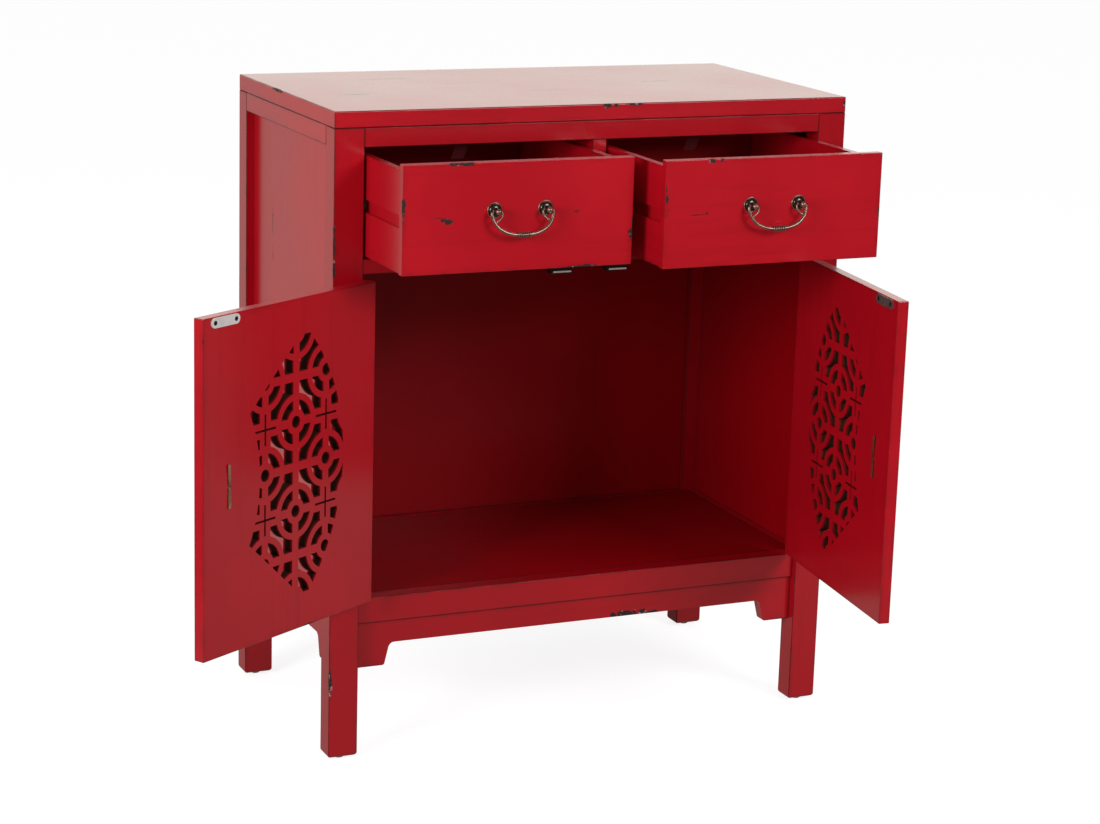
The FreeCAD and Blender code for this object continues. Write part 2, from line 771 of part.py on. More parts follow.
def arc_round(centre, first, last):
    """Shorter arc from the first place to the last about a centre in the bail's plane."""
    middle = (first - centre) + (last - centre)
    middle.normalize()
    return Part.Arc(first, centre + middle * (first - centre).Length, last).toShape()


def centre_between(first, first_distance, second, second_distance):
    """Place at given distances from two places of the bail's plane, on the right of the line between them."""
    line = second - first
    length = line.Length
    line.normalize()
    along = (length ** 2 + first_distance ** 2 - second_distance ** 2) / (2 * length)
    aside = math.sqrt(first_distance ** 2 - along ** 2)
    return first + line * along + in_plane(line.z, -line.x) * aside


def round_wire(edges, radius):
    """Round wire along joined edges of the bail's plane."""
    start = edges[0].FirstParameter
    section = Part.Wire(Part.makeCircle(radius, edges[0].valueAt(start), edges[0].tangentAt(start)))
    return Part.Wire(edges).makePipeShell([section], True, False)


def bail_shape():
    """Bail about its own axis along X: a full bow of wire with a ringed grip, whose ends curl in to the posts
    from outside, and a thin prong with a bead at each end that curls in from inside. It leans forward."""
    half = size["bail_spacing"].number / 2
    wire = size["bail_wire_radius"].number
    prong_wire = size["bail_prong_wire_radius"].number
    drop = size["bail_drop"].number
    bow = size["bail_bow_radius"].number
    shoulder = size["bail_shoulder_radius"].number
    fork = size["bail_fork_radius"].number
    fork_drop = size["bail_fork_drop"].number
    bead_radius = size["bail_bead_radius"].number
    pin_radius = size["bail_pin_radius"].number
    pin_end = size["post_neck_radius"].number - size["bail_pin_engagement"].number
    across = in_plane(1, 0)

    # the right half in the bail's plane
    fork_centre = in_plane(half, -fork_drop)
    bow_centre = in_plane(0, bow - drop)
    shoulder_centre = centre_between(bow_centre, bow - shoulder, fork_centre, shoulder - fork)
    fork_way = (fork_centre - shoulder_centre).normalize()
    fork_end = shoulder_centre + fork_way * shoulder
    bow_way = (shoulder_centre - bow_centre).normalize()
    bow_end = bow_centre + bow_way * bow
    tip_offset = math.sqrt(fork ** 2 - fork_drop ** 2)
    outer_tip = in_plane(half + tip_offset, 0)
    inner_tip = in_plane(half - tip_offset, 0)
    turn = math.radians(size["bail_prong_turn"].number)
    prong_bend = fork_centre + in_plane(math.cos(turn), math.sin(turn)) * fork
    heading = in_plane(-math.sin(turn), math.cos(turn))
    inward = prong_bend - shoulder_centre
    ahead = inward.dot(heading)
    run = math.sqrt(ahead ** 2 - inward.dot(inward) + shoulder ** 2) - ahead
    join = prong_bend + heading * run
    bead = join - heading * size["bail_bead_from_bow"].number

    edges = [arc_round(bow_centre, flipped(bow_end, -1), bow_end)]
    for side in (-1, 1):
        shoulder_places = [flipped(place, side) for place in (shoulder_centre, bow_end, fork_end)]
        fork_places = [flipped(place, side) for place in (fork_centre, fork_end, outer_tip)]
        if side < 0:
            edges = [arc_round(fork_places[0], fork_places[2], fork_places[1]),
                     arc_round(shoulder_places[0], shoulder_places[2], shoulder_places[1])] + edges
        else:
            edges += [arc_round(*shoulder_places), arc_round(*fork_places)]
    solids = [round_wire(edges, wire)]
    for side in (-1, 1):
        prong = [arc_round(*(flipped(place, side) for place in (fork_centre, inner_tip, prong_bend))),
                 Part.makeLine(flipped(prong_bend, side), flipped(join, side))]
        solids.append(round_wire(prong, prong_wire))
        solids.append(Part.makeSphere(bead_radius, flipped(bead, side), flipped(heading, side)))
        for tip, radius, way in ((outer_tip, wire, -across), (inner_tip, prong_wire, across)):
            end = flipped(tip, side)
            solids.append(Part.makeSphere(radius + size["bail_tip_swell"].number, end))
            solids.append(Part.makeCylinder(pin_radius, tip_offset - pin_end, end, side * way))
    grip = size["bail_grip_length"].number
    pitch = grip / GRIP_BEADS
    ring_wire = size["bail_grip_bead_radius"].number
    core = size["bail_grip_core_radius"].number
    solids.append(Part.makeCylinder(core, grip, in_plane(-grip / 2, -drop), across))
    for index in range(GRIP_BEADS):
        large = index in GRIP_LARGE_BEADS
        swell = size["bail_grip_radius" if large else "bail_grip_small_radius"].number
        centre = in_plane(-grip / 2 + (index + 0.5) * pitch, -drop)
        solids.append(Part.makeTorus(swell - ring_wire, ring_wire, centre, across))
    bail = solids[0].multiFuse(solids[1:]).removeSplitter()
    bail.rotate(FreeCAD.Vector(), across, -size["bail_lean"].number)
    return bail


def drawer(word, side, pulled):
    """Drawer in its bay, drawn out by the named distance."""
    y_face = front - pulled
    bay = mirrored(side, (half_divider, inner))
    front_x = (bay[0] + size["drawer_front_gap"], bay[1] - size["drawer_front_gap"])
    y_board = y_face + size["drawer_front_thickness"]
    y_rear = y_face + size["drawer_depth"]
    bail_x = (bay[0] + bay[1]) / 2
    bail_z = (z_front_low + z_front_high) / 2 + size["bail_raise"]
    z_board = (z_front_low, z_front_high)
    blank = rounded("DrawerFrontBoard", span("DrawerFront", front_x, (y_face, y_board), z_board), edge)
    hole_radius = size["post_shank_radius"] + size["shank_clearance"]
    holes = []
    mounts = []
    for hand in (-1, 1):
        x = bail_x + hand * size["bail_spacing"] / 2
        holes.append(rod("ShankHole", "+Y", x, y_face, bail_z, hole_radius, size["drawer_front_thickness"]))
        mounts.append(bail_mount(x, y_face, bail_z))
    node(word + "_drawer_front", cut("DrawerFrontCut", blank, holes))
    z_sides = (z_side_low, z_side_high)
    groove_z = (z_groove - groove_half, z_groove + groove_half)
    out_x = (front_x[0] + size["drawer_side_inset"], front_x[1] - size["drawer_side_inset"])
    left_x = (out_x[0], out_x[0] + size["drawer_side_thickness"])
    right_x = (out_x[1] - size["drawer_side_thickness"], out_x[1])
    depth = size["drawer_groove_depth"]
    y_sides = (y_board, y_rear)
    left_groove = span("Groove", (out_x[0], out_x[0] + depth), y_sides, groove_z)
    right_groove = span("Groove", (out_x[1] - depth, out_x[1]), y_sides, groove_z)
    left_blank = span("DrawerSide", left_x, y_sides, z_sides)
    right_blank = span("DrawerSide", right_x, y_sides, z_sides)
    node(word + "_drawer_left_side", cut("DrawerSideCut", left_blank, [left_groove]))
    node(word + "_drawer_right_side", cut("DrawerSideCut", right_blank, [right_groove]))
    inside = (left_x[1], right_x[0])
    y_back = y_rear - size["drawer_back_thickness"]
    node(word + "_drawer_back", span("DrawerBack", inside, (y_back, y_rear), z_sides))
    z_bottom = z_side_low + size["drawer_bottom_lift"]
    bottom_z = (z_bottom, z_bottom + size["drawer_bottom_thickness"])
    node(word + "_drawer_bottom", span("DrawerBottom", inside, (y_board, y_back), bottom_z))
    node(word + "_bail_mounts", grouped("BailMounts", mounts))
    bail = fresh("Part::Feature", "Bail")
    bail.Shape = bail_shape()
    place(bail, bail_x, y_face - size["post_pivot_standoff"], bail_z)
    node(word + "_bail", bail)


drawer("left", -1, size["left_drawer_out"])
drawer("right", 1, size["right_drawer_out"])

# Doors: each is drawn shut, measured from its hinge pin, and then turned to its open place.
# u runs from the pin towards the free edge, y from the pin into the cabinet.

door_start = size["hinge_leaf_gap"] / 2 + size["hinge_leaf_thickness"]
door_end = pivot_x - size["door_meeting_gap"] / 2
door_face = size["hinge_knuckle_radius"] + size["hinge_knuckle_clearance"]
door_rear = door_face + size["door_thickness"]


def door_place(thing, side, opened):
    """Stand a piece that was drawn about the pin at its pivot, turned by the opening angle."""
    turn = FreeCAD.Rotation(FreeCAD.Vector(0, 0, side), opened.number)
    thing.Placement = FreeCAD.Placement(FreeCAD.Vector(), turn)
    bind(thing, "Placement.Base.x", pivot_x if side > 0 else -pivot_x)
    bind(thing, "Placement.Base.y", pivot_y)
    thing.setExpression("Placement.Rotation.Angle", opened.text)
    return thing


def lattice_cutter(side):
    """Openings of the pierced panel: what is left of the outline between rings, bars and crosses.

    Rings stand on a staggered square grid of half pitch fret_pitch. Odd grid places carry a plain
    crossing of the bars in the middle column and a broad cross with a plus-shaped slot beside it.
    The outline is an arc towards the hinge, two slanted edges and a drawn-in waist towards the free edge.
    """
    pitch = size["fret_pitch"].number
    centre = door_end.number - size["fret_centre_from_free_edge"].number
    depth = size["door_thickness"].number
    overrun = size["overrun"].number
    y_low = door_face.number - overrun
    tall = depth + 2 * overrun
    normal = FreeCAD.Vector(0, 1, 0)
    mid = z_door_mid.number
    apex_u = centre - size["fret_apex_offset"].number
    top = mid + size["fret_half_height"].number
    low = mid - size["fret_half_height"].number
    bow_u = apex_u - size["fret_bow"].number
    horn_u = centre + size["fret_horn_offset"].number
    horn = size["fret_horn_height"].number
    waist_u = centre + size["fret_waist_offset"].number

    def spot(u, z):
        return FreeCAD.Vector(-side * u, y_low, z)
    outline = [
        Part.Arc(spot(apex_u, low), spot(bow_u, mid), spot(apex_u, top)).toShape(),
        Part.LineSegment(spot(apex_u, top), spot(horn_u, mid + horn)).toShape(),
        Part.Arc(spot(horn_u, mid + horn), spot(waist_u, mid), spot(horn_u, mid - horn)).toShape(),
        Part.LineSegment(spot(horn_u, mid - horn), spot(apex_u, low)).toShape(),
    ]
    window = Part.Face(Part.Wire(outline)).extrude(FreeCAD.Vector(0, tall, 0))
    keep = []
    slots = []

    def disc(u, z, radius):
        return Part.makeCylinder(radius, tall, spot(u, z), normal)

    def slab(u, z, half_u, half_z):
        corner = FreeCAD.Vector(-side * u - half_u, y_low, z - half_z)
        return Part.makeBox(2 * half_u, tall, 2 * half_z, corner)
    columns = range(-FRET_COLUMNS, FRET_COLUMNS + 1)
    rows = range(-FRET_ROWS, FRET_ROWS + 1)
    bar = size["fret_bar_width"].number / 2
    broad = size["fret_cross_width"].number / 2
    slot = size["fret_slot_width"].number / 2
    slot_arm = size["fret_slot_reach"].number
    cross_arm = size["fret_cross_reach"].number
    hole = size["fret_hole_radius"].number
    inside = size["fret_ring_inner"].number
    outside = size["fret_ring_outer"].number
    for column in columns:
        keep.append(slab(centre + column * pitch, mid, bar, FRET_ROWS * pitch))
    for row in rows:
        keep.append(slab(centre, mid + row * pitch, FRET_COLUMNS * pitch + outside, bar))
    for column in columns:
        for row in rows:
            u = centre + column * pitch
            z = mid + row * pitch
            ring_place = (column + row) % 2 == 1
            if ring_place:
                keep.append(disc(u, z, outside).cut(disc(u, z, inside)))
                keep.append(disc(u, z, size["fret_disc_radius"].number))
                slots.append(disc(u, z, hole))
            elif column % 2 == 1:
                keep.append(slab(u, z, broad, cross_arm))
                keep.append(slab(u, z, cross_arm, broad))
                slots.append(slab(u, z, slot, slot_arm).fuse(slab(u, z, slot_arm, slot)))
    solid_part = keep[0].multiFuse(keep[1:])
    solid_part = solid_part.cut(slots)
    openings = window.cut(solid_part)
    pieces = [piece for piece in openings.Solids if piece.Volume > SMALLEST_OPENING]
    thing = fresh("Part::Feature", "LatticeCutter")
    thing.Shape = Part.makeCompound(pieces)
    return thing


def hinge_leaf(side, fixed):
    """One leaf: flat plate, its knuckles about the pin and countersunk holes.

    The fixed leaf has the outer two knuckles of three, the door leaf the middle one.
    """
    third = size["hinge_length"] / 3
    gap = size["hinge_knuckle_gap"]
    near = size["hinge_leaf_gap"] / 2
    overrun = size["overrun"]
    if fixed:
        plate_u = (-near - size["hinge_leaf_thickness"], -near)
        parts = [(0.0, third - gap / 2), (2 * third + gap / 2, 3 * third)]
    else:
        plate_u = (near, near + size["hinge_leaf_thickness"])
        parts = [(third + gap / 2, 2 * third - gap / 2)]
    plate_x = plate_u if side < 0 else (-plate_u[1], -plate_u[0])
    plate_y = (leaf_front, leaf_front + size["hinge_leaf_depth"])
    leaves = []
    for base in hinge_heights:
        solids = [span("LeafPlate", plate_x, plate_y, (base, base + size["hinge_length"]))]
        for low, high in parts:
            knuckle = size["hinge_knuckle_radius"]
            solids.append(rod("Knuckle", "+Z", 0.0, 0.0, base + low, knuckle, high - low))
            solids.append(span("LeafTongue", plate_x, (0.0, leaf_front), (base + low, base + high)))
        bore = size["hinge_pin_radius"] + size["hinge_pin_clearance"]
        tools = [rod("PinBore", "+Z", 0.0, 0.0, base - overrun, bore, size["hinge_length"] + 2 * overrun)]
        middle = base + size["hinge_length"] / 2
        head_u = -near if fixed else near
        head_x = head_u if side < 0 else -head_u
        axis = ("-X" if fixed else "+X") if side < 0 else ("+X" if fixed else "-X")
        for step in (-0.5, 0.5):
            height = middle + step * size["hinge_screw_spacing"]
            tools.append(screw_hole("LeafHole", axis, head_x, leaf_mid, height))
        leaves.append(cut("HingeLeaf", fused("LeafBody", solids), tools))
    return leaves


def door(word, side, opened):
    """Door with its strike plate, hinge leaves, screws and ring pull, turned to its open place."""
    overrun = size["overrun"]
    door_x = mirrored(-side, (door_start, door_end))
    board = span("DoorBlank", door_x, (door_face, door_rear), (z_door_low, z_door_high))
    blank = rounded("DoorBoard", board, size["door_edge_round"])
    toward = -side
    pull_x = toward * (door_end - size["pull_from_free_edge"])
    tools = [lattice_cutter(side)]
    pin_room = size["split_pin_radius"] + size["split_pin_hole_clearance"]
    tools.append(rod("SplitPinHole", "+Y", pull_x, door_face - overrun, z_door_mid, pin_room,
                     size["door_thickness"] + 2 * overrun))
    leaf_face = size["hinge_leaf_gap"] / 2
    hinge_axis = "+X" if side < 0 else "-X"
    screws = []
    for height in screw_heights:
        spot = (toward * leaf_face, leaf_mid, height)
        tools.append(screw_hole("DoorHingeHole", hinge_axis, *spot))
        screws.append(screw("DoorHingeScrew", hinge_axis, *spot))
    strike_x = toward * (door_end - size["strike_from_free_edge"])
    strike_z = z_door_high - size["strike_below_top"] - size["strike_height"] / 2
    strike_face = door_rear + size["strike_thickness"]
    strike_holes = []
    for step in (-0.5, 0.5):
        spot = (strike_x + step * size["strike_screw_spacing"], strike_face, strike_z)
        tools.append(screw_hole("DoorStrikeHole", "-Y", *spot))
        strike_holes.append(screw_hole("StrikeHole", "-Y", *spot))
        screws.append(screw("StrikeScrew", "-Y", *spot))
    node(word + "_door_panel", door_place(cut("Door", blank, tools), side, opened))

    round_end = size["strike_height"] / 2
    flat = size["strike_length"] / 2 - round_end
    plate = fused("StrikeBlank", [
        span("StrikeBar", (strike_x - flat, strike_x + flat), (door_rear, strike_face),
             (strike_z - round_end, strike_z + round_end)),
        rod("StrikeEnd", "+Y", strike_x - flat, door_rear, strike_z, round_end, size["strike_thickness"]),
        rod("StrikeEnd", "+Y", strike_x + flat, door_rear, strike_z, round_end, size["strike_thickness"]),
    ])
    node(word + "_strike_plate", door_place(cut("StrikePlate", plate, strike_holes), side, opened))
    node(word + "_hinge_leaves", door_place(grouped("DoorLeaves", hinge_leaf(side, False)), side, opened))
    node(word + "_door_screws", door_place(grouped("DoorScrews", screws), side, opened))

    plate_front = door_face - size["pull_plate_thickness"]
    boss_front = plate_front - size["pull_boss_height"]
    disc = rod("PullDisc", "-Y", pull_x, door_face, z_door_mid, size["pull_plate_radius"],
               size["pull_plate_thickness"])
    boss = taper("PullBoss", "-Y", pull_x, plate_front, z_door_mid, size["pull_boss_radius"],
                 size["pull_boss_end_radius"], size["pull_boss_height"])
    plate_hole = rod("PullHole", "+Y", pull_x, boss_front - overrun, z_door_mid, pin_room,
                     door_face - boss_front + 2 * overrun)
    pull_plate = cut("PullPlate", fused("PullPlateBody", [disc, boss]), [plate_hole])
    node(word + "_pull_plate", door_place(pull_plate, side, opened))

    eye_y = boss_front - size["pull_eye_radius"] - size["pull_eye_wire"]
    eye = ring("PinEye", "+X", pull_x, eye_y, z_door_mid, size["pull_eye_radius"], size["pull_eye_wire"])
    shank_from = eye_y + size["pull_eye_radius"]
    shank = rod("PinShank", "+Y", pull_x, shank_from, z_door_mid, size["split_pin_radius"],
                door_rear - shank_from)
    leg_x = (pull_x - size["split_pin_leg_width"] / 2, pull_x + size["split_pin_leg_width"] / 2)
    leg_y = (door_rear, door_rear + size["split_pin_leg_thickness"])
    leg_z = (z_door_mid - size["split_pin_leg_length"], z_door_mid + size["split_pin_leg_length"])
    legs = rounded("PinLegs", span("PinLegBar", leg_x, leg_y, leg_z), size["split_pin_leg_round"])
    node(word + "_split_pin", door_place(fused("SplitPin", [eye, shank, legs]), side, opened))

    hang = size["pull_eye_radius"] - size["pull_eye_wire"] - size["pull_ring_wire"] - size["pull_ring_settle"]
    loop = ring("PullLoop", "+Y", pull_x, eye_y, z_door_mid - hang - size["pull_ring_radius"],
                size["pull_ring_radius"], size["pull_ring_wire"])
    node(word + "_pull_ring", door_place(grouped("PullRing", [loop]), side, opened))


door("left", -1, size["left_door_open"])
door("right", 1, size["right_door_open"])

# Fixed hinge leaves on the posts, hinge pins and all screws of the carcass

post_leaves = []
pins = []
pin_length = size["hinge_length"]
head_radius = size["hinge_pin_head_radius"]
head_height = size["hinge_pin_head_height"]
for side in (-1, 1):
    x = pivot_x if side > 0 else -pivot_x
    leaves = grouped("PostLeaves", hinge_leaf(side, True))
    place(leaves, x, pivot_y, 0.0)
    post_leaves.append(leaves)
    for base in hinge_heights:
        shaft = rod("PinShaft", "+Z", x, pivot_y, base, size["hinge_pin_radius"], pin_length)
        lower = rod("PinFoot", "-Z", x, pivot_y, base, head_radius, head_height)
        upper = rod("PinHead", "+Z", x, pivot_y, base + pin_length, head_radius, head_height)
        pins.append(fused("HingePin", [shaft, lower, upper]))
node("hinge_post_leaves", grouped("AllPostLeaves", post_leaves))
node("hinge_pins", grouped("HingePins", pins))
node("carcass_screws", grouped("CarcassScrews", carcass_screws))

# Check every object and every node, then write one file per node

doc.recompute()
faults = []
for thing in doc.Objects:
    if "Invalid" in thing.State or "Error" in thing.State:
        faults.append("%s is in state %s" % (thing.Name, thing.State))
for label, thing in nodes:
    shape = thing.Shape
    if shape.isNull() or not shape.isValid():
        faults.append("%s has no valid shape" % label)
    elif not shape.Solids:
        faults.append("%s has no solid" % label)
if len({label for label, thing in nodes}) != len(nodes):
    faults.append("two nodes share a name")
if len(nodes) > MOST_NODES:
    faults.append("too many nodes: %d" % len(nodes))
if faults:
    raise RuntimeError("; ".join(faults))
os.makedirs("parts", exist_ok=True)
for label, thing in nodes:
    thing.Shape.exportStep("parts/%s.step" % label)
    bounds = thing.Shape.BoundBox
    print("%-26s solids %2d volume %10.1f  x %8.2f %8.2f  y %8.2f %8.2f  z %8.2f %8.2f" % (
        label, len(thing.Shape.Solids), thing.Shape.Volume, bounds.XMin, bounds.XMax,
        bounds.YMin, bounds.YMax, bounds.ZMin, bounds.ZMax))
print("nodes", len(nodes))
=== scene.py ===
import math

import bpy
import numpy as np
from mathutils import Matrix, Vector


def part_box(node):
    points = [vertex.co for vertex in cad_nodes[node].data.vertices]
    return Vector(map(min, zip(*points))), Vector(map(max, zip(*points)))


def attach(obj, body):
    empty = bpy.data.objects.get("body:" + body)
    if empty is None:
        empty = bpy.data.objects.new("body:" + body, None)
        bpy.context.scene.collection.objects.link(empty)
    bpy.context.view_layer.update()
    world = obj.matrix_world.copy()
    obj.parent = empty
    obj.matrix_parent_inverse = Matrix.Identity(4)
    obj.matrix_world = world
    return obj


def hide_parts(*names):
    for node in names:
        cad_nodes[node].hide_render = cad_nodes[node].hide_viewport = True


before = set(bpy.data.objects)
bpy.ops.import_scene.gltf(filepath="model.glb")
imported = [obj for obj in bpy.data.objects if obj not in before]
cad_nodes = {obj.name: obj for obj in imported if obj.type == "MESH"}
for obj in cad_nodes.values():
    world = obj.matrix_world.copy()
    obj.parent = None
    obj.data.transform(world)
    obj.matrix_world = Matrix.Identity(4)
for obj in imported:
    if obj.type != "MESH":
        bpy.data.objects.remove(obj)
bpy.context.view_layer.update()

scene = bpy.context.scene
MM = 0.001
SIDES = ("left", "right")

# Drawer pulls: sizes in millimetres, as the solids have them, and profiles of (radius, distance) pairs

PULL_SPACING = 64.0
POST_BALL_RADIUS = 3.6
POST_STANDOFF = 13.0
POST_PIVOT = 8.0
POST_NECK_RADIUS = 3.0
ROSETTE_RADIUS = 9.4
ROSETTE_RIM = 0.6
ROSETTE_RIM_RISE = 0.7
ROSETTE_HOLLOW = [(8.0, 0.45), (7.7, 0.35), (7.3, 0.6)]
ROSETTE_DOME_FOOT = (2.2, 0.8)
ROSETTE_DOME = (4.9, 2.9)
ROSETTE_NECK = [(3.2, 4.2), (POST_NECK_RADIUS, 5.2), (POST_NECK_RADIUS, 10.7)]
DRAWER_FRONT = 11.0
NUT_RADIUS = 4.2
NUT_HEIGHT = 3.2
BAIL_DROP = 28.3
BAIL_REACH = 38.6
BAIL_LEAN = 11.0
BAIL_FULLNESS = 2.35
BAIL_WIRE = 1.65
BAIL_MIDDLE_WIRE = 2.15
BAIL_STEP = 0.16
BAIL_PIN = 1.0
BAIL_PIN_BITE = 1.2
BOW_SPAN = 72.0
BOW_JOIN = -14.0
FORK_RADIUS = 6.5
FORK_DROP = 3.8
PRONG_WIRE = 1.0
PRONG_TURN = 233.0
PRONG_RUN = 8.6
PRONG_STEP = 0.3
BEAD_RADIUS = 1.75
BEAD_FROM_BOW = 3.8
GRIP_LENGTH = 17.0
GRIP_BEADS = 7
GRIP_CORE = 2.0
GRIP_SWELL = 1.6

# Doors: pin places and faces in millimetres, measured from the pin as in the solids, and angles in degrees

HINGE_X = 301.2
HINGE_Y = -183.5
DOOR_OPEN = {"left": 149.5, "right": 83.3}
DOOR_SIDE = {"left": -1, "right": 1}
DOOR_NEAR = 1.3
DOOR_FAR = 299.7
DOOR_FACE = 3.5
DOOR_REAR = 17.5
DOOR_LOW = 208.0
DOOR_HIGH = 602.0
DOOR_MID = 405.0

# Door pulls, split pins and glides, in millimetres

PULL_FROM_EDGE = 43.0
PULL_PLATE_RADIUS = 21.0
PULL_PLATE_THICKNESS = 1.6
PULL_PLATE_RIM = 1.1
PULL_PLATE_RIM_LIFT = 0.5
DISH_OUTER = 18.4
DISH_INNER = 7.6
DISH_RINGS = (15.6, 13.7)
DISH_RING_WIDTH = 0.55
DISH_RING_HEIGHT = 0.28
PULL_BOSS_HEIGHT = 1.6
PULL_BOSS_SINK = 0.5
PULL_BOSS_REACH = 4.6
PULL_BOSS_ARC = 1.25
PULL_EYE_RADIUS = 3.7
PULL_EYE_WIRE = 1.2
PULL_RING_RADIUS = 17.0
PULL_RING_WIRE = 1.9
PULL_RING_HANG = 0.3
SPLIT_PIN_RADIUS = 1.9
SPLIT_LEG_LENGTH = 25.0
SPLIT_LEG_WIDTH = 4.4
SPLIT_LEG_THICKNESS = 1.8
SPLIT_LEG_GAP = 1.1
GLIDE_RADIUS = 7.0
GLIDE_HEIGHT = 4.0
GLIDE_ROUND = 3.1
GLIDE_EDGE = 0.9

# Radius left at the ends of turned profiles, profile of the glide's nail, and the legs of a split pin as
# way up or down, sideways lean and lift of the tip

TIP_RADIUS = 0.05
GLIDE_NAIL = [(TIP_RADIUS, -14.0), (1.0, -12.6), (1.5, -11.0), (1.5, 0.0)]
SPLIT_LEGS = ((1, 0.075, 0.9), (-1, 0.03, 0.4))

# Paint and metal colours, linear, with the weight of the clear coat

RED = (0.44, 0.0035, 0.011, 1.0)
CRIMSON = (0.37, 0.0015, 0.0075, 1.0)
RED_DEEP = (0.25, 0.002, 0.006, 1.0)
# Darker red for the insides of the cabinet and drawers: painted shade on the same lacquer
SHADED_RED_INSIDE = (0.31, 0.0012, 0.005, 1.0)
GLAZE = (0.075, 0.008, 0.008, 1.0)
UNDERCOAT = (0.034, 0.022, 0.021, 1.0)
BARE_WOOD = (0.42, 0.33, 0.29, 1.0)
FRET_LIP = (0.30, 0.004, 0.009, 1.0)
FRET_WALL = (0.032, 0.010, 0.004, 1.0)
# Dark of the upper pole plate: painted shade
POLE_SHADE = (0.020, 0.013, 0.011, 1.0)
COAT_WEIGHT = 0.9
WORN_COAT_LOSS = 0.9
CLOUD_GAIN = 1.14
INSIDE_COAT = 0.15

# Lacquer: noise scales per metre, then widths and depths in metres

ALONG_GRAIN = 5.0
ACROSS_GRAIN = 85.0
CLOUD_SCALE = 4.5
PATCH_SCALE = 34.0
GRIT_SCALE = 170.0
RAGGED_SCALE = 210.0
RAGGED_MARKS = 2.2
RAGGED_WIDTH = 0.0012
GLAZE_REACH = 0.009
RUB_REACH = 0.0019
RUB_FADE = 0.0005
RUB_START = 0.0004
LINE_OUTER = 0.0016
LINE_INNER = 0.0004
FRET_MARGIN_START = 0.008
FRET_MARGIN_END = 0.012
FRET_LIP_START = 0.0008
FRET_LIP_END = 0.0042
LACQUER_RELIEF = 0.00012

# Height above which the pole plates are darkened as painted shade, and how softly it starts, in metres

POLE_GAP = 0.5951
POLE_GAP_SOFT = 0.0003


class Nodes:
    """Short calls for the nodes that the finishes and the world share."""

    def __init__(self, tree):
        self.tree = tree

    def feed(self, socket, value):
        if isinstance(value, bpy.types.NodeSocket):
            self.tree.links.new(value, socket)
        else:
            socket.default_value = value

    def add(self, kind, inputs, **settings):
        node = self.tree.nodes.new(kind)
        for key, value in settings.items():
            setattr(node, key, value)
        for key, value in inputs.items():
            self.feed(node.inputs[key], value)
        return node

    def sum(self, operation, first, second=0.0, clamp=False):
        node = self.add("ShaderNodeMath", {0: first, 1: second}, operation=operation, use_clamp=clamp)
        return node.outputs[0]

    def arrow(self, operation, first, second=(0.0, 0.0, 0.0)):
        node = self.add("ShaderNodeVectorMath", {0: first, 1: second}, operation=operation)
        return node.outputs["Value" if operation in ("LENGTH", "DOT_PRODUCT") else "Vector"]

    def stretched(self, place, scale, turn=(0.0, 0.0, 0.0), move=(0.0, 0.0, 0.0)):
        sockets = {"Vector": place, "Scale": scale, "Rotation": turn, "Location": move}
        return self.add("ShaderNodeMapping", sockets).outputs[0]

    def noise(self, place, scale, detail=3.0, roughness=0.55):
        sockets = {"Vector": place, "Scale": scale, "Detail": detail, "Roughness": roughness}
        return self.add("ShaderNodeTexNoise", sockets).outputs[0]

    def ease(self, value, start, end, low=0.0, high=1.0):
        """Smooth step of value from low at start to high at end."""
        sockets = {"Value": value, "From Min": start, "From Max": end, "To Min": low, "To Max": high}
        return self.add("ShaderNodeMapRange", sockets, interpolation_type="SMOOTHSTEP").outputs[0]

    def blend(self, share, first, second):
        return self.add("ShaderNodeMix", {0: share, 6: first, 7: second}, data_type="RGBA").outputs[2]

    def bump(self, height, depth):
        sockets = {"Height": height, "Distance": depth, "Strength": 1.0}
        return self.add("ShaderNodeBump", sockets).outputs[0]

    def mix_shaders(self, share, first, second):
        sockets = {0: share, 1: first.outputs[0], 2: second.outputs[0]}
        return self.add("ShaderNodeMixShader", sockets)

    def rays_that_look(self):
        """One for rays from the camera, straight or through something clear; and whether a ray is glossy."""
        path = self.add("ShaderNodeLightPath", {}).outputs
        return self.sum("MAXIMUM", path["Is Camera Ray"], path["Is Transmission Ray"]), path["Is Glossy Ray"]


class Finish(Nodes):
    """One material, measured in the piece's own directions."""

    def __init__(self, name):
        self.material = bpy.data.materials.new(name)
        self.material.use_nodes = True
        super().__init__(self.material.node_tree)
        self.shader = self.tree.nodes["Principled BSDF"]
        where = self.add("ShaderNodeTexCoord", {})
        self.place = where.outputs["Object"]
        self.facing = where.outputs["Normal"]

    def set(self, **sockets):
        for key, value in sockets.items():
            self.feed(self.shader.inputs[key.replace("_", " ")], value)


def dress(node, material):
    """Give every slot of a solid the same finish."""
    mesh = cad_nodes[node].data
    if not mesh.materials:
        mesh.materials.append(material)
    for slot in range(len(mesh.materials)):
        mesh.materials[slot] = material


def plane_depths(finish, place, middle, half):
    """Distances inwards from a board's end, face and edge planes, along x, y and z."""
    away = finish.arrow("ABSOLUTE", finish.arrow("SUBTRACT", place, middle))
    left = finish.arrow("SUBTRACT", half, away)
    return finish.add("ShaderNodeSeparateXYZ", {0: left}).outputs


def edge_distance(finish, depths):
    """Distance to the nearest edge of a board: the middle one of the three distances to its planes."""
    x, y, z = depths
    least = finish.sum("MINIMUM", x, y)
    most = finish.sum("MAXIMUM", x, y)
    return finish.sum("MAXIMUM", least, finish.sum("MINIMUM", most, z))


def mark_field(finish, place, marks, wobble):
    """Lowest of the marks' scaled distances; below one is inside a mark, with a ragged outline."""
    field = None
    for centre, half in marks:
        middle = [value * MM for value in centre]
        shrink = [1.0 / (value * MM) for value in half]
        offset = finish.arrow("SUBTRACT", place, middle)
        scaled = finish.arrow("LENGTH", finish.arrow("MULTIPLY", offset, shrink))
        field = scaled if field is None else finish.sum("MINIMUM", field, scaled)
    return finish.sum("ADD", field, wobble)


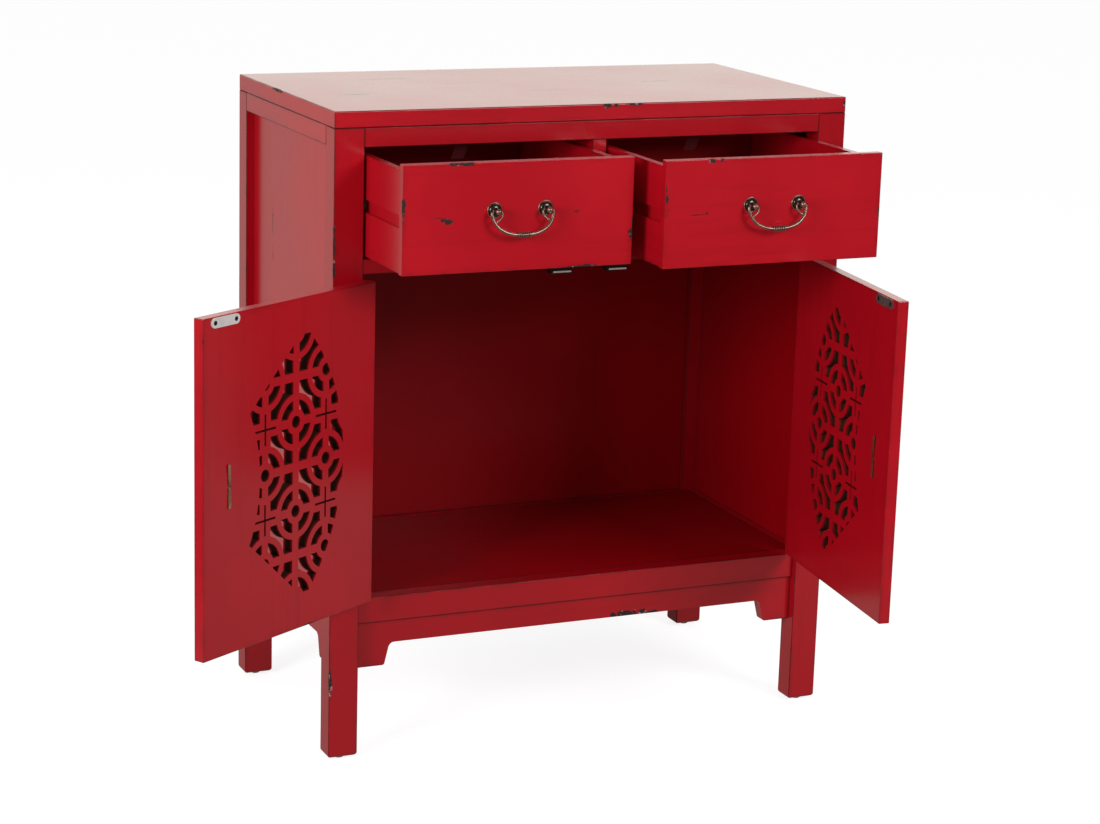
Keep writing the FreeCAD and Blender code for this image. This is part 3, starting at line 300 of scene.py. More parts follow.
def lacquer(name, middle, half, grain, rub=0.5, base=RED, chips=(), scratches=(), gloss=0.34, turn=None,
            pierced=None, inside=None, seam=0.85):
    """Worn red lacquer on one board, given by its middle, its half size and the direction of its grain.

    Broad clouds and fine streaks along the grain vary the red, a deeper red gathers towards the edges, a
    thin dark line follows each edge, the edges are rubbed through in places, and the named chips and
    scratches show what lies under the red. Chips, rubbed edges and edge lines have lost most of their clear
    coat. Faces that look along inside take the darker inside red, painted shade of the cabinet's inside,
    and a duller coat. The walls of a pierced board, which look across its pierced direction, go from dark
    red to nearly black. A turned board gives the angle and the move that bring it back to its own axes.
    """
    finish = Finish(name)
    place = finish.place
    if turn is not None:
        angle, move = turn
        place = finish.stretched(place, (1.0, 1.0, 1.0), (0.0, 0.0, angle), move)
    long_way = [ALONG_GRAIN if along else ACROSS_GRAIN for along in grain]
    streaks = finish.noise(finish.stretched(place, long_way), 1.0, 4.0, 0.6)
    clouds = finish.noise(place, CLOUD_SCALE, 3.0, 0.5)
    grit = finish.noise(place, GRIT_SCALE, 4.0, 0.65)
    patches = finish.noise(place, PATCH_SCALE, 3.0, 0.6)
    depths = plane_depths(finish, place, middle, half)
    away = edge_distance(finish, depths)

    coat = INSIDE_COAT if base is SHADED_RED_INSIDE else COAT_WEIGHT
    bright = [min(value * CLOUD_GAIN, 1.0) for value in base]
    colour = finish.blend(finish.ease(clouds, 0.36, 0.68), base, bright)
    # Faces looking inwards take the darker inside red as painted shade, and the duller inside coat
    if inside is not None:
        inner_face_shade = finish.ease(finish.arrow("DOT_PRODUCT", finish.facing, inside), 0.4, 0.6)
        colour = finish.blend(inner_face_shade, colour, SHADED_RED_INSIDE)
        coat = finish.ease(inner_face_shade, 0.0, 1.0, COAT_WEIGHT, INSIDE_COAT)
    colour = finish.blend(finish.ease(streaks, 0.50, 0.80, 0.0, 0.30), colour, RED_DEEP)
    glaze = finish.sum("MULTIPLY", finish.ease(away, GLAZE_REACH, 0.0), finish.ease(patches, 0.35, 0.75))
    colour = finish.blend(finish.sum("MULTIPLY", glaze, 0.45), colour, RED_DEEP)

    reach = finish.ease(patches, 0.72 - 0.32 * rub, 0.86 - 0.14 * rub, 0.0, RUB_REACH)
    ragged = finish.sum("MULTIPLY", finish.sum("SUBTRACT", grit, 0.5), RAGGED_WIDTH)
    over = finish.sum("SUBTRACT", finish.sum("ADD", reach, ragged), away)
    faded = finish.sum("DIVIDE", over, RUB_FADE, True)
    rubbed = finish.sum("MULTIPLY", faded, finish.ease(reach, 0.0, RUB_START))
    colour = finish.blend(finish.sum("MULTIPLY", rubbed, 0.85), colour, GLAZE)
    uneven = finish.sum("ADD", away, finish.sum("MULTIPLY", ragged, 0.35))
    line = finish.ease(uneven, LINE_OUTER, LINE_INNER)
    line = finish.sum("MULTIPLY", line, finish.ease(patches, 0.25, 0.55, 0.6 * seam, seam))
    colour = finish.blend(line, colour, GLAZE)

    roughness = finish.ease(finish.sum("ADD", clouds, finish.sum("MULTIPLY", grit, 0.4)), 0.4, 1.0,
                            gloss - 0.05, gloss + 0.09)
    height = finish.sum("ADD", finish.sum("MULTIPLY", streaks, 0.55), finish.sum("MULTIPLY", grit, 0.30))
    worn = rubbed
    outline = finish.noise(place, RAGGED_SCALE, 3.0, 0.6)
    wobble = finish.sum("MULTIPLY", finish.sum("SUBTRACT", outline, 0.5), RAGGED_MARKS)
    if chips:
        chipped = finish.ease(mark_field(finish, place, chips, wobble), 1.0, 0.8)
        speck = finish.ease(grit, 0.58, 0.66)
        chip_colour = finish.blend(finish.sum("MULTIPLY", speck, 0.75), UNDERCOAT, BARE_WOOD)
        colour = finish.blend(chipped, colour, chip_colour)
        worn = finish.sum("MAXIMUM", worn, chipped)
    bare = finish.sum("MAXIMUM", worn, line)
    if scratches:
        scratched = finish.ease(mark_field(finish, place, scratches, wobble), 1.0, 0.55)
        colour = finish.blend(finish.sum("MULTIPLY", scratched, 0.7), colour, GLAZE)
        worn = finish.sum("MAXIMUM", worn, scratched)
    if pierced is not None:
        flat = finish.arrow("ABSOLUTE", finish.arrow("DOT_PRODUCT", finish.facing, pierced))
        deep = finish.ease(away, FRET_MARGIN_START, FRET_MARGIN_END)
        wall = finish.sum("MULTIPLY", finish.ease(flat, 0.7, 0.4), deep)
        lip = finish.sum("ADD", depths[1], finish.sum("MULTIPLY", ragged, 1.5))
        wall_colour = finish.blend(finish.ease(lip, FRET_LIP_START, FRET_LIP_END), FRET_LIP, FRET_WALL)
        colour = finish.blend(wall, colour, wall_colour)
        roughness = finish.sum("ADD", roughness, finish.sum("MULTIPLY", wall, 0.5))
        coat = finish.sum("MULTIPLY", finish.sum("SUBTRACT", 1.0, wall), COAT_WEIGHT)
    kept = finish.ease(bare, 0.0, 1.0, 1.0, 1.0 - WORN_COAT_LOSS)
    coat = finish.sum("MULTIPLY", kept, coat)
    height = finish.sum("SUBTRACT", height, finish.sum("MULTIPLY", worn, 1.5))
    roughness = finish.sum("ADD", roughness, finish.sum("MULTIPLY", worn, 0.28), True)
    finish.set(Base_Color=colour, Roughness=roughness, Normal=finish.bump(height, LACQUER_RELIEF))
    finish.set(IOR=1.5, Specular_IOR_Level=0.1, Coat_Weight=coat, Coat_Roughness=0.2, Coat_IOR=1.5)
    return finish.material


def board(node, grain="x", **look):
    """Lacquer a board that stands square to the frame, from the corners of its own box."""
    low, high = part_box(node)
    middle = (low + high) / 2
    half = (high - low) / 2
    ways = [axis == grain for axis in "xyz"]
    dress(node, lacquer(node + "_lacquer", middle, half, ways, **look))


# Carcass boards and their wear; chips and scratches are (middle, half size) in millimetres

board("top_panel", "x", rub=0.55, gloss=0.36, chips=[
    ((8.0, -180.0, 797.5), (5.5, 3.0, 3.4)),
    ((21.0, -180.0, 797.8), (3.0, 3.0, 2.8)),
    ((46.0, -180.0, 798.6), (12.0, 2.5, 1.5)),
    ((-340.0, 28.0, 799.0), (2.5, 20.0, 2.6)),
    ((338.0, -178.0, 790.0), (3.0, 3.0, 6.0)),
    ((150.0, 180.0, 798.0), (14.0, 3.0, 2.5)),
    ((340.0, 60.0, 799.0), (2.5, 16.0, 2.5)),
], scratches=[
    ((-172.0, 97.0, 800.0), (38.0, 3.0, 3.0)),
    ((-8.0, -45.0, 800.0), (30.0, 3.5, 3.0)),
    ((168.0, 13.0, 800.0), (26.0, 4.0, 3.0)),
    ((-262.0, -40.0, 800.0), (22.0, 5.0, 3.0)),
    ((-90.0, 40.0, 800.0), (46.0, 1.8, 3.0)),
    ((240.0, -70.0, 800.0), (34.0, 1.6, 3.0)),
])
board("front_left_post", "z", rub=0.62, base=CRIMSON, chips=[
    ((-340.0, -180.0, 644.0), (2.2, 2.2, 34.0)),
    ((-340.0, -180.0, 612.0), (3.0, 2.4, 12.0)),
    ((-339.0, -180.0, 104.0), (3.4, 3.0, 19.0)),
    ((-340.0, -152.0, 300.0), (2.5, 2.5, 10.0)),
])
board("front_right_post", "z", rub=0.6, base=CRIMSON, chips=[
    ((340.0, -180.0, 690.0), (2.0, 2.0, 16.0)),
    ((340.0, -180.0, 250.0), (2.4, 2.4, 20.0)),
])
board("rear_left_post", "z", rub=0.6, base=CRIMSON, inside=(1.0, 0.0, 0.0), chips=[
    ((-340.0, 180.0, 520.0), (2.4, 2.4, 24.0)),
    ((-340.0, 150.0, 330.0), (2.2, 2.2, 12.0)),
])
board("rear_right_post", "z", rub=0.6, base=CRIMSON, inside=(-1.0, 0.0, 0.0), chips=[
    ((340.0, 180.0, 420.0), (2.4, 2.4, 26.0)),
])
board("front_top_rail", "x", rub=0.6, base=CRIMSON)
board("mid_rail", "x", rub=0.55, base=CRIMSON)
board("drawer_divider", "z", rub=0.5, base=CRIMSON)
board("lower_front_rail", "x", rub=0.5, base=CRIMSON)
board("front_apron", "x", rub=0.5, base=CRIMSON, chips=[
    ((47.5, -168.5, 143.5), (6.0, 3.0, 4.6)),
    ((64.0, -168.5, 143.5), (14.0, 3.0, 5.0)),
    ((77.0, -168.5, 145.0), (2.0, 3.0, 4.6)),
    ((89.5, -168.5, 143.5), (7.0, 3.0, 4.6)),
    ((102.0, -168.5, 142.6), (9.0, 3.0, 2.6)),
])
for side in SIDES:
    outer = -1 if side == "left" else 1
    board(side + "_top_rail", "y", rub=0.6)
    board(side + "_bottom_rail", "y", rub=0.5)
    board(side + "_apron", "y", rub=0.5, base=CRIMSON)
    board(side + "_side_panel", "z", rub=0.2, gloss=0.36, inside=(-outer, 0.0, 0.0), scratches=[
        ((outer * 330.0, 73.0, 628.0), (3.0, 2.6, 21.0)),
        ((outer * 330.0, 71.0, 586.0), (3.0, 1.6, 12.0)),
        ((outer * 330.0, -60.0, 452.0), (3.0, 1.4, 16.0)),
    ])
board("rear_top_rail", "x", rub=0.5)
board("rear_bottom_rail", "x", rub=0.5)
# Inside boards: their darker inside red is painted shade
board("back_panel", "z", rub=0.1, base=SHADED_RED_INSIDE, gloss=0.42)
board("cabinet_floor", "x", rub=0.1, base=SHADED_RED_INSIDE, gloss=0.40)
board("drawer_partition", "y", rub=0.1, base=SHADED_RED_INSIDE, gloss=0.42)

# Drawer boxes and fronts

FRONT_WEAR = {
    "left": dict(chips=[
        ((-238.0, -300.0, 753.5), (10.0, 4.0, 2.8)),
        ((-222.0, -300.0, 753.0), (9.0, 4.0, 3.4)),
        ((-300.0, -300.0, 706.0), (3.0, 3.0, 13.0)),
        ((-80.0, -300.0, 626.6), (9.0, 4.0, 1.7)),
        ((-70.0, -300.0, 627.2), (9.0, 4.0, 2.9)),
        ((-59.0, -300.0, 626.7), (7.0, 4.0, 1.8)),
        ((-12.6, -300.0, 663.5), (3.8, 4.0, 6.5)),
        ((-10.8, -300.0, 675.0), (1.5, 4.0, 10.0)),
        ((-249.5, -300.0, 689.3), (5.0, 4.0, 2.5)),
        ((-244.5, -300.0, 686.5), (5.8, 4.0, 2.9)),
    ], scratches=[
        ((-257.0, -300.0, 692.0), (6.0, 3.0, 0.9)),
        ((-84.0, -300.0, 692.5), (4.4, 3.0, 2.4)),
    ]),
    "right": dict(chips=[
        ((71.0, -340.0, 752.6), (5.0, 4.0, 3.4)),
        ((84.0, -340.0, 753.2), (2.6, 4.0, 2.6)),
        ((12.0, -340.0, 720.0), (0.9, 4.0, 5.0)),
        ((13.0, -340.0, 708.0), (2.0, 4.0, 5.0)),
        ((12.5, -340.0, 690.0), (1.0, 4.0, 1.6)),
        ((300.0, -340.0, 684.0), (2.0, 4.0, 7.0)),
    ], scratches=[
        ((66.0, -340.0, 690.0), (3.6, 3.0, 3.0)),
        ((54.0, -340.0, 689.0), (12.0, 3.0, 1.0)),
    ]),
}
for side in SIDES:
    box_name = side + "_drawer_"
    board(box_name + "front", "x", rub=0.38, gloss=0.33, seam=0.2, **FRONT_WEAR[side])
    board(box_name + "left_side", "y", rub=0.3, gloss=0.38, seam=0.2)
    board(box_name + "right_side", "y", rub=0.3, gloss=0.38, seam=0.2)
    # Drawer backs and bottoms: their darker inside red is painted shade
    board(box_name + "back", "x", rub=0.2, base=SHADED_RED_INSIDE, gloss=0.42)
    board(box_name + "bottom", "y", rub=0.1, base=SHADED_RED_INSIDE, gloss=0.42)


# Doors stand turned on their pins, so their finish is measured in the door's own directions


def door_angle(side):
    return math.radians(DOOR_OPEN[side]) * DOOR_SIDE[side]


def on_door(side, u, y, z):
    """Places measured from the pin, as the open door has them: u to the free edge, y inwards and z up."""
    hand = DOOR_SIDE[side]
    angle = door_angle(side)
    across = -hand * np.asarray(u, float)
    y = np.asarray(y, float)
    x_out = hand * HINGE_X + across * math.cos(angle) - y * math.sin(angle)
    y_out = HINGE_Y + across * math.sin(angle) + y * math.cos(angle)
    return np.stack(np.broadcast_arrays(x_out, y_out, np.asarray(z, float)), -1) * MM


def door_finish(side):
    """Lacquer of one door, with dark walls in the pierced lattice."""
    hand = DOOR_SIDE[side]
    angle = door_angle(side)
    pin = Vector((hand * HINGE_X, HINGE_Y, 0.0)) * MM
    move = -(Matrix.Rotation(-angle, 3, "Z") @ pin)
    u_mid = -hand * (DOOR_NEAR + DOOR_FAR) / 2
    middle = Vector((u_mid, (DOOR_FACE + DOOR_REAR) / 2, DOOR_MID)) * MM
    half = Vector(((DOOR_FAR - DOOR_NEAR) / 2, (DOOR_REAR - DOOR_FACE) / 2, (DOOR_HIGH - DOOR_LOW) / 2)) * MM
    normal = Matrix.Rotation(angle, 3, "Z") @ Vector((0.0, 1.0, 0.0))
    return lacquer(side + "_door_lacquer", middle, half, (False, False, True), rub=0.2, gloss=0.36, seam=0.3,
                   turn=(-angle, move), pierced=tuple(normal), chips=[
                       ((-hand * 120.0, DOOR_REAR, DOOR_LOW), (16.0, 2.4, 1.8)),
                   ], scratches=[((-hand * 210.0, DOOR_FACE, 560.0), (2.0, 3.0, 14.0))])


for side in SIDES:
    dress(side + "_door_panel", door_finish(side))

# Metals, plastics and bare wood


def brass(name, patina, worn, metallic, rough, coat):
    """Old brass with a clear coat: dark patina in the hollows, rubbed brighter where it stands proud."""
    finish = Finish(name)
    proud = finish.add("ShaderNodeAttribute", {}, attribute_name="raised").outputs["Fac"]
    spots = finish.noise(finish.place, 320.0, 4.0, 0.65)
    broad = finish.noise(finish.place, 90.0, 2.0, 0.5)
    shine = finish.ease(finish.sum("ADD", proud, finish.sum("MULTIPLY", spots, 0.7)), 0.30, 1.20)
    colour = finish.blend(shine, patina, worn)
    colour = finish.blend(finish.ease(broad, 0.45, 0.75, 0.0, 0.35), colour, patina)
    finish.set(Base_Color=colour, Metallic=metallic)
    finish.set(Roughness=finish.ease(spots, 0.3, 0.7, rough - 0.06, rough + 0.08))
    finish.set(Normal=finish.bump(spots, 0.00006), Coat_Weight=coat, Coat_Roughness=0.1, Coat_IOR=1.5)
    return finish.material


def metal(name, colour, dull, rough, brushed, metallic=1.0, shaded_above=None):
    """Plated sheet metal: fine brushing along one way and duller clouds, darkened above a height by painted
    shade.
    """
    finish = Finish(name)
    lines = finish.noise(finish.stretched(finish.place, brushed), 1.0, 3.0, 0.6)
    clouds = finish.noise(finish.place, 120.0, 3.0, 0.6)
    tone = finish.blend(finish.ease(clouds, 0.40, 0.75), colour, dull)
    if shaded_above is not None:
        height = finish.add("ShaderNodeSeparateXYZ", {0: finish.place}).outputs[2]
        shade_share = finish.ease(height, shaded_above - POLE_GAP_SOFT, shaded_above + POLE_GAP_SOFT)
        tone = finish.blend(shade_share, tone, POLE_SHADE)
    finish.set(Base_Color=tone, Metallic=metallic)
    finish.set(Roughness=finish.ease(lines, 0.3, 0.7, rough - 0.06, rough + 0.08))
    finish.set(Normal=finish.bump(lines, 0.00004))
    return finish.material


def moulded(name, colour, shade, rough):
    """Plain moulded or painted small part with faint mottling and a fine skin."""
    finish = Finish(name)
    clouds = finish.noise(finish.place, 140.0, 3.0, 0.6)
    skin = finish.noise(finish.place, 900.0, 2.0, 0.5)
    finish.set(Base_Color=finish.blend(finish.ease(clouds, 0.38, 0.70), colour, shade))
    finish.set(Roughness=finish.ease(clouds, 0.3, 0.7, rough - 0.05, rough + 0.07))
    finish.set(Normal=finish.bump(skin, 0.00005))
    return finish.material


def raw_wood(name, light, dark):
    """Unpainted hardwood: growth streaks along the runner and darker pores."""
    finish = Finish(name)
    streaks = finish.noise(finish.stretched(finish.place, (70.0, 4.0, 70.0)), 1.0, 5.0, 0.6)
    pores = finish.noise(finish.stretched(finish.place, (420.0, 18.0, 420.0)), 1.0, 2.0, 0.5)
    colour = finish.blend(finish.ease(streaks, 0.35, 0.68), light, dark)
    colour = finish.blend(finish.ease(pores, 0.56, 0.72, 0.0, 0.45), colour, dark)
    finish.set(Base_Color=colour, Roughness=finish.ease(streaks, 0.3, 0.7, 0.50, 0.66))
    finish.set(Normal=finish.bump(pores, 0.00012))
    return finish.material


antique_brass = brass("antique_brass", (0.050, 0.029, 0.020, 1.0), (0.37, 0.215, 0.150, 1.0), 0.8, 0.32, 0.7)
# The right door's split pin takes a darker copy of the pin brass: painted shade
pin_brass = {
    "left": brass("split_pin_brass", (0.12, 0.050, 0.028, 1.0), (0.42, 0.22, 0.13, 1.0), 0.35, 0.42, 0.0),
    "right": brass("shaded_pin_brass", (0.08, 0.020, 0.010, 1.0), (0.20, 0.065, 0.033, 1.0), 0.35, 0.42, 0.0),
}
hinge_brass = metal("hinge_brass", (0.48, 0.33, 0.15, 1.0), (0.30, 0.20, 0.09, 1.0), 0.34,
                    (40.0, 40.0, 900.0))
zinc = metal("zinc_plate", (0.88, 0.88, 0.86, 1.0), (0.78, 0.79, 0.77, 1.0), 0.34, (900.0, 900.0, 60.0), 0.3)
# The right strike plate's darker zinc is painted shade on the same plate
shaded_zinc = metal("shaded_zinc_plate", (0.38, 0.37, 0.36, 1.0), (0.26, 0.25, 0.25, 1.0), 0.40,
                  (900.0, 900.0, 60.0), 0.9)
# The pole plates are darkened above POLE_GAP as painted shade
pole_steel = metal("pole_steel", (0.88, 0.84, 0.77, 1.0), (0.80, 0.76, 0.69, 1.0), 0.40,
                   (60.0, 900.0, 900.0), 0.0, POLE_GAP)
black_screw = metal("black_screws", (0.012, 0.012, 0.013, 1.0), (0.03, 0.028, 0.027, 1.0), 0.46,
                    (600.0, 600.0, 600.0), 0.7)
catch_case = moulded("catch_case", (0.016, 0.010, 0.009, 1.0), (0.010, 0.006, 0.005, 1.0), 0.5)
stop_strip = moulded("stop_strip", (0.11, 0.010, 0.016, 1.0), (0.075, 0.007, 0.011, 1.0), 0.55)
nylon = moulded("glide_nylon", (0.30, 0.22, 0.23, 1.0), (0.20, 0.145, 0.155, 1.0), 0.42)
runner_wood = raw_wood("runner_wood", (0.22, 0.12, 0.065, 1.0), (0.11, 0.055, 0.03, 1.0))

for side in SIDES:
    dress(side + "_strike_plate", zinc if side == "left" else shaded_zinc)
    dress(side + "_hinge_leaves", hinge_brass)
    dress(side + "_door_screws", black_screw)
dress("hinge_post_leaves", hinge_brass)
dress("hinge_pins", hinge_brass)
dress("carcass_screws", black_screw)
dress("catch_housings", catch_case)
dress("catch_pole_plates", pole_steel)
dress("drawer_stops", stop_strip)
dress("drawer_runners", runner_wood)

# Turned and bent metalwork, worked out as rings of points


def rings_to_mesh(rings, raised, loop=False):
    """Skin rings of points (rows, around, xyz) into quads; open ends are closed by a fan to their middle."""
    rows, around = rings.shape[:2]
    row = np.arange(rows if loop else rows - 1)[:, None]
    col = np.arange(around)[None, :]
    next_row = (row + 1) % rows
    next_col = (col + 1) % around
    quads = np.stack(np.broadcast_arrays(row * around + col, row * around + next_col,
                                         next_row * around + next_col, next_row * around + col), -1)
    faces = [tuple(quad) for quad in quads.reshape(-1, 4).tolist()]
    points = rings.reshape(-1, 3)
    heights = np.repeat(raised, around)
    if not loop:
        first = len(points)
        points = np.vstack([points, rings[0].mean(0), rings[-1].mean(0)])
        heights = np.append(heights, [raised[0], raised[-1]])
        around_index = np.arange(around)
        turned = (around_index + 1) % around
        last = (rows - 1) * around
        faces += list(zip(turned.tolist(), around_index.tolist(), [first] * around))
        faces += list(zip((last + around_index).tolist(), (last + turned).tolist(), [first + 1] * around))
    return points, faces, heights


def piece(name, skins, material, body, stands_for):
    """One object from several skins, smooth shaded, riding on a body in place of the named solid."""
    points = np.vstack([skin[0] for skin in skins])
    starts = np.cumsum([0] + [len(skin[0]) for skin in skins])
    faces = [tuple(index + start for index in face) for skin, start in zip(skins, starts) for face in skin[1]]
    mesh = bpy.data.meshes.new(name)
    mesh.from_pydata(points.tolist(), [], faces)
    mesh.polygons.foreach_set("use_smooth", np.ones(len(faces), bool))
    layer = mesh.attributes.new("raised", "FLOAT", "POINT")
    layer.data.foreach_set("value", np.concatenate([skin[2] for skin in skins]).astype(np.float32))
    mesh.materials.append(material)
    mesh.update()
    thing = bpy.data.objects.new(name, mesh)
    scene.collection.objects.link(thing)
    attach(thing, body)
    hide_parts(stands_for)


def tube(path, radii, raised, sides=20, loop=False):
    """Round section of varying radius carried along a path that lies in a plane of constant y."""
    path = np.asarray(path, float)
    ahead = np.roll(path, -1, 0) - np.roll(path, 1, 0)
    if not loop:
        ahead[0] = path[1] - path[0]
        ahead[-1] = path[-1] - path[-2]
    ahead /= np.linalg.norm(ahead, axis=1)[:, None]
    side = np.array([0.0, 1.0, 0.0])
    up = np.cross(ahead, side)
    turn = np.linspace(0.0, 2.0 * math.pi, sides, endpoint=False)
    circle = np.cos(turn)[None, :, None] * up[:, None, :] + np.sin(turn)[None, :, None] * side
    rings = path[:, None, :] + np.asarray(radii)[:, None, None] * circle
    return rings_to_mesh(rings, np.asarray(raised, float), loop)


def turned(profile, raised, sides=48):
    """Profile of (radius, distance along -y) pairs turned about the y axis."""
    profile = np.asarray(profile, float)
    turn = np.linspace(0.0, 2.0 * math.pi, sides, endpoint=False)
    radius = profile[:, 0][:, None]
    x = radius * np.cos(turn)
    z = radius * np.sin(turn)
    y = np.broadcast_to(-profile[:, 1][:, None], x.shape)
    return rings_to_mesh(np.stack([x, y, z], -1), np.asarray(raised, float))


def moved(skin, offset):
    return skin[0] + np.asarray(offset, float), skin[1], skin[2]


def scaled(skin):
    return skin[0] * MM, skin[1], skin[2]


def round_end(count, length):
    """Distances from a rounded end and the share of full radius there: a quarter circle."""
    angle = np.linspace(0.06, math.pi / 2, count)
    return length * (1.0 - np.cos(angle)), np.sin(angle)


def bulge(turn, middle, half):
    """Arc of an ellipse as (radius, distance) pairs: middle + half * (cos turn, sin turn)."""
    return np.stack([middle[0] + half[0] * np.cos(turn), middle[1] + half[1] * np.sin(turn)], -1)


def rosette():
    """Rosette turned about its post: a thin rolled rim, a dark hollow, a low dome, a neck and a ball."""
    edge = np.linspace(0.0, math.pi, 9)
    rim = bulge(edge, (ROSETTE_RADIUS - ROSETTE_RIM, ROSETTE_RIM), (ROSETTE_RIM, ROSETTE_RIM_RISE))
    arc = np.linspace(0.1, 1.35, 14)
    dome = bulge(arc, ROSETTE_DOME_FOOT, ROSETTE_DOME)
    sweep = np.linspace(-0.58, math.pi / 2 - 0.05, 18)
    ball = bulge(sweep, (0.0, POST_STANDOFF), (POST_BALL_RADIUS, POST_BALL_RADIUS))
    profile = np.vstack([[(ROSETTE_RADIUS - 0.2, 0.0)], rim, ROSETTE_HOLLOW, dome, ROSETTE_NECK, ball])
    raised = np.concatenate([[0.2], 0.4 + 0.6 * np.sin(edge), [-0.4, -0.4, -0.3], np.full(len(arc), -0.15),
                             np.full(len(ROSETTE_NECK), -0.3), np.full(len(sweep), 0.62)])
    return turned(profile, raised)


def shank_nut():
    """Nut behind the drawer front: a low dome with a bevelled rim."""
    profile = [(NUT_RADIUS, 0.0), (NUT_RADIUS, -2.2), (NUT_RADIUS - 0.6, -2.9), (2.4, -NUT_HEIGHT),
               (2.0, -NUT_HEIGHT), (TIP_RADIUS, -NUT_HEIGHT)]
    skin = turned(profile, np.full(len(profile), 0.4), 24)
    return skin[0], [face[::-1] for face in skin[1]], skin[2]


def upright(places):
    """Places (x, z) of the bail's plane as points in space."""
    return np.stack([places[:, 0], 0.0 * places[:, 0], places[:, 1]], -1)


def even_steps(places, spacing):
    """The same line with its places spaced evenly along it."""
    run = np.concatenate([[0.0], np.cumsum(np.linalg.norm(np.diff(places, axis=0), axis=1))])
    steps = np.linspace(0.0, run[-1], int(run[-1] / spacing) + 2)
    return np.stack([np.interp(steps, run, places[:, 0]), np.interp(steps, run, places[:, 1])], -1)


def fork_arc(hand, start, end):
    """Places on the circle below a post between two turns in degrees; 0 points away from the middle."""
    turn = np.radians(np.linspace(start, end, 60))
    x = hand * (PULL_SPACING / 2 + FORK_RADIUS * np.cos(turn))
    return np.stack([x, FORK_RADIUS * np.sin(turn) - FORK_DROP], -1)


def bail():
    """Bail about its own axis: a full bow of wire with a ringed grip, and a forked curl at each end.

    The bow's middle line is |x / reach|^n + |z / drop|^n = 1, a full ellipse, up to the circle below each
    post, and follows that circle up to the post's outer side. Across the grip its radius rises and falls as
    the size of a sine with one hump for each bead. A thin prong leaves the bow straight, carries a bead and
    follows the same circle up to the post's inner side. The whole bail leans forward about its axis.
    """
    tip_turn = math.degrees(math.asin(FORK_DROP / FORK_RADIUS))
    tip_offset = math.sqrt(FORK_RADIUS ** 2 - FORK_DROP ** 2)
    angle = np.radians(np.linspace(-BOW_SPAN, BOW_SPAN, 900))
    power = 2.0 / BAIL_FULLNESS
    bow_x = BAIL_REACH * np.sign(angle) * np.abs(np.sin(angle)) ** power
    bow = np.stack([bow_x, -BAIL_DROP * np.cos(angle) ** power], -1)
    path = np.vstack([fork_arc(-1, tip_turn, BOW_JOIN), bow, fork_arc(1, BOW_JOIN, tip_turn)])
    path = even_steps(path, BAIL_STEP)
    across = np.abs(path[:, 0])
    low = np.clip(-path[:, 1] / BAIL_DROP, 0.0, 1.0)
    radii = BAIL_WIRE + (BAIL_MIDDLE_WIRE - BAIL_WIRE) * low
    grip = (across < GRIP_LENGTH / 2) & (low > 0.5)
    beads = np.abs(np.sin(math.pi * GRIP_BEADS * (path[:, 0] / GRIP_LENGTH + 0.5))) ** 0.8
    radii = np.where(grip, GRIP_CORE + GRIP_SWELL * beads, radii)
    raised = np.where(grip, 1.15 * beads ** 2 - 0.35, 0.5)
    count = np.arange(len(path))
    from_end = np.clip(np.minimum(count, count[::-1]) * BAIL_STEP / BAIL_WIRE, 0.02, 1.0)
    radii = radii * np.sqrt(from_end * (2.0 - from_end))
    skins = [tube(upright(path), radii, raised)]
    turn = math.radians(PRONG_TURN)
    for hand in (-1, 1):
        curl = fork_arc(hand, 180.0 - tip_turn, PRONG_TURN)
        heading = np.array([-hand * math.sin(turn), math.cos(turn)])
        join = curl[-1] + heading * PRONG_RUN
        prong = even_steps(np.vstack([curl, join]), PRONG_STEP)
        prong_radii = np.full(len(prong), PRONG_WIRE)
        prong_radii[:4] = PRONG_WIRE * np.sqrt([0.1, 0.5, 0.8, 0.95])
        skins.append(tube(upright(prong), prong_radii, np.full(len(prong), 0.7), 16))
        middle = hand * PULL_SPACING / 2
        for start_x in (middle + tip_offset, middle - tip_offset):
            inner = math.copysign(POST_NECK_RADIUS - BAIL_PIN_BITE, start_x - middle)
            reach = np.linspace(start_x, middle + inner, 6)
            pin = upright(np.stack([reach, 0.0 * reach], -1))
            skins.append(tube(pin, np.full(6, BAIL_PIN), np.full(6, 0.5), 14))
        bead_turn = np.linspace(0.05, math.pi - 0.05, 13)
        profile = BEAD_RADIUS * np.stack([np.sin(bead_turn), -np.cos(bead_turn)], -1)
        bead = join - heading * BEAD_FROM_BOW
        skins.append(moved(turned(profile, np.full(13, 1.0), 20), (bead[0], 0.0, bead[1])))
    lean = Matrix.Rotation(-math.radians(BAIL_LEAN), 3, "X")
    return [(points @ np.array(lean).T, faces, raised) for points, faces, raised in skins]


def pull_middle(side):
    """Middle between the two balls of a drawer's pull, in millimetres."""
    low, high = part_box(side + "_bail_mounts")
    return np.array([(low.x + high.x) / 2, low.y + POST_BALL_RADIUS * MM, (low.z + high.z) / 2]) / MM


for side in SIDES:
    middle = pull_middle(side)
    face = middle + (0.0, POST_STANDOFF, 0.0)
    posts = []
    for hand in (-1, 1):
        foot = face + (hand * PULL_SPACING / 2, 0.0, 0.0)
        posts.append(scaled(moved(rosette(), foot)))
        posts.append(scaled(moved(shank_nut(), foot + (0.0, DRAWER_FRONT, 0.0))))
    drawer = side + "_drawer"
    piece(side + "_bail_posts", posts, antique_brass, drawer, side + "_bail_mounts")
    handle = [scaled(moved(skin, face - (0.0, POST_PIVOT, 0.0))) for skin in bail()]
    piece(side + "_bail_handle", handle, antique_brass, side + "_bail", side + "_bail")


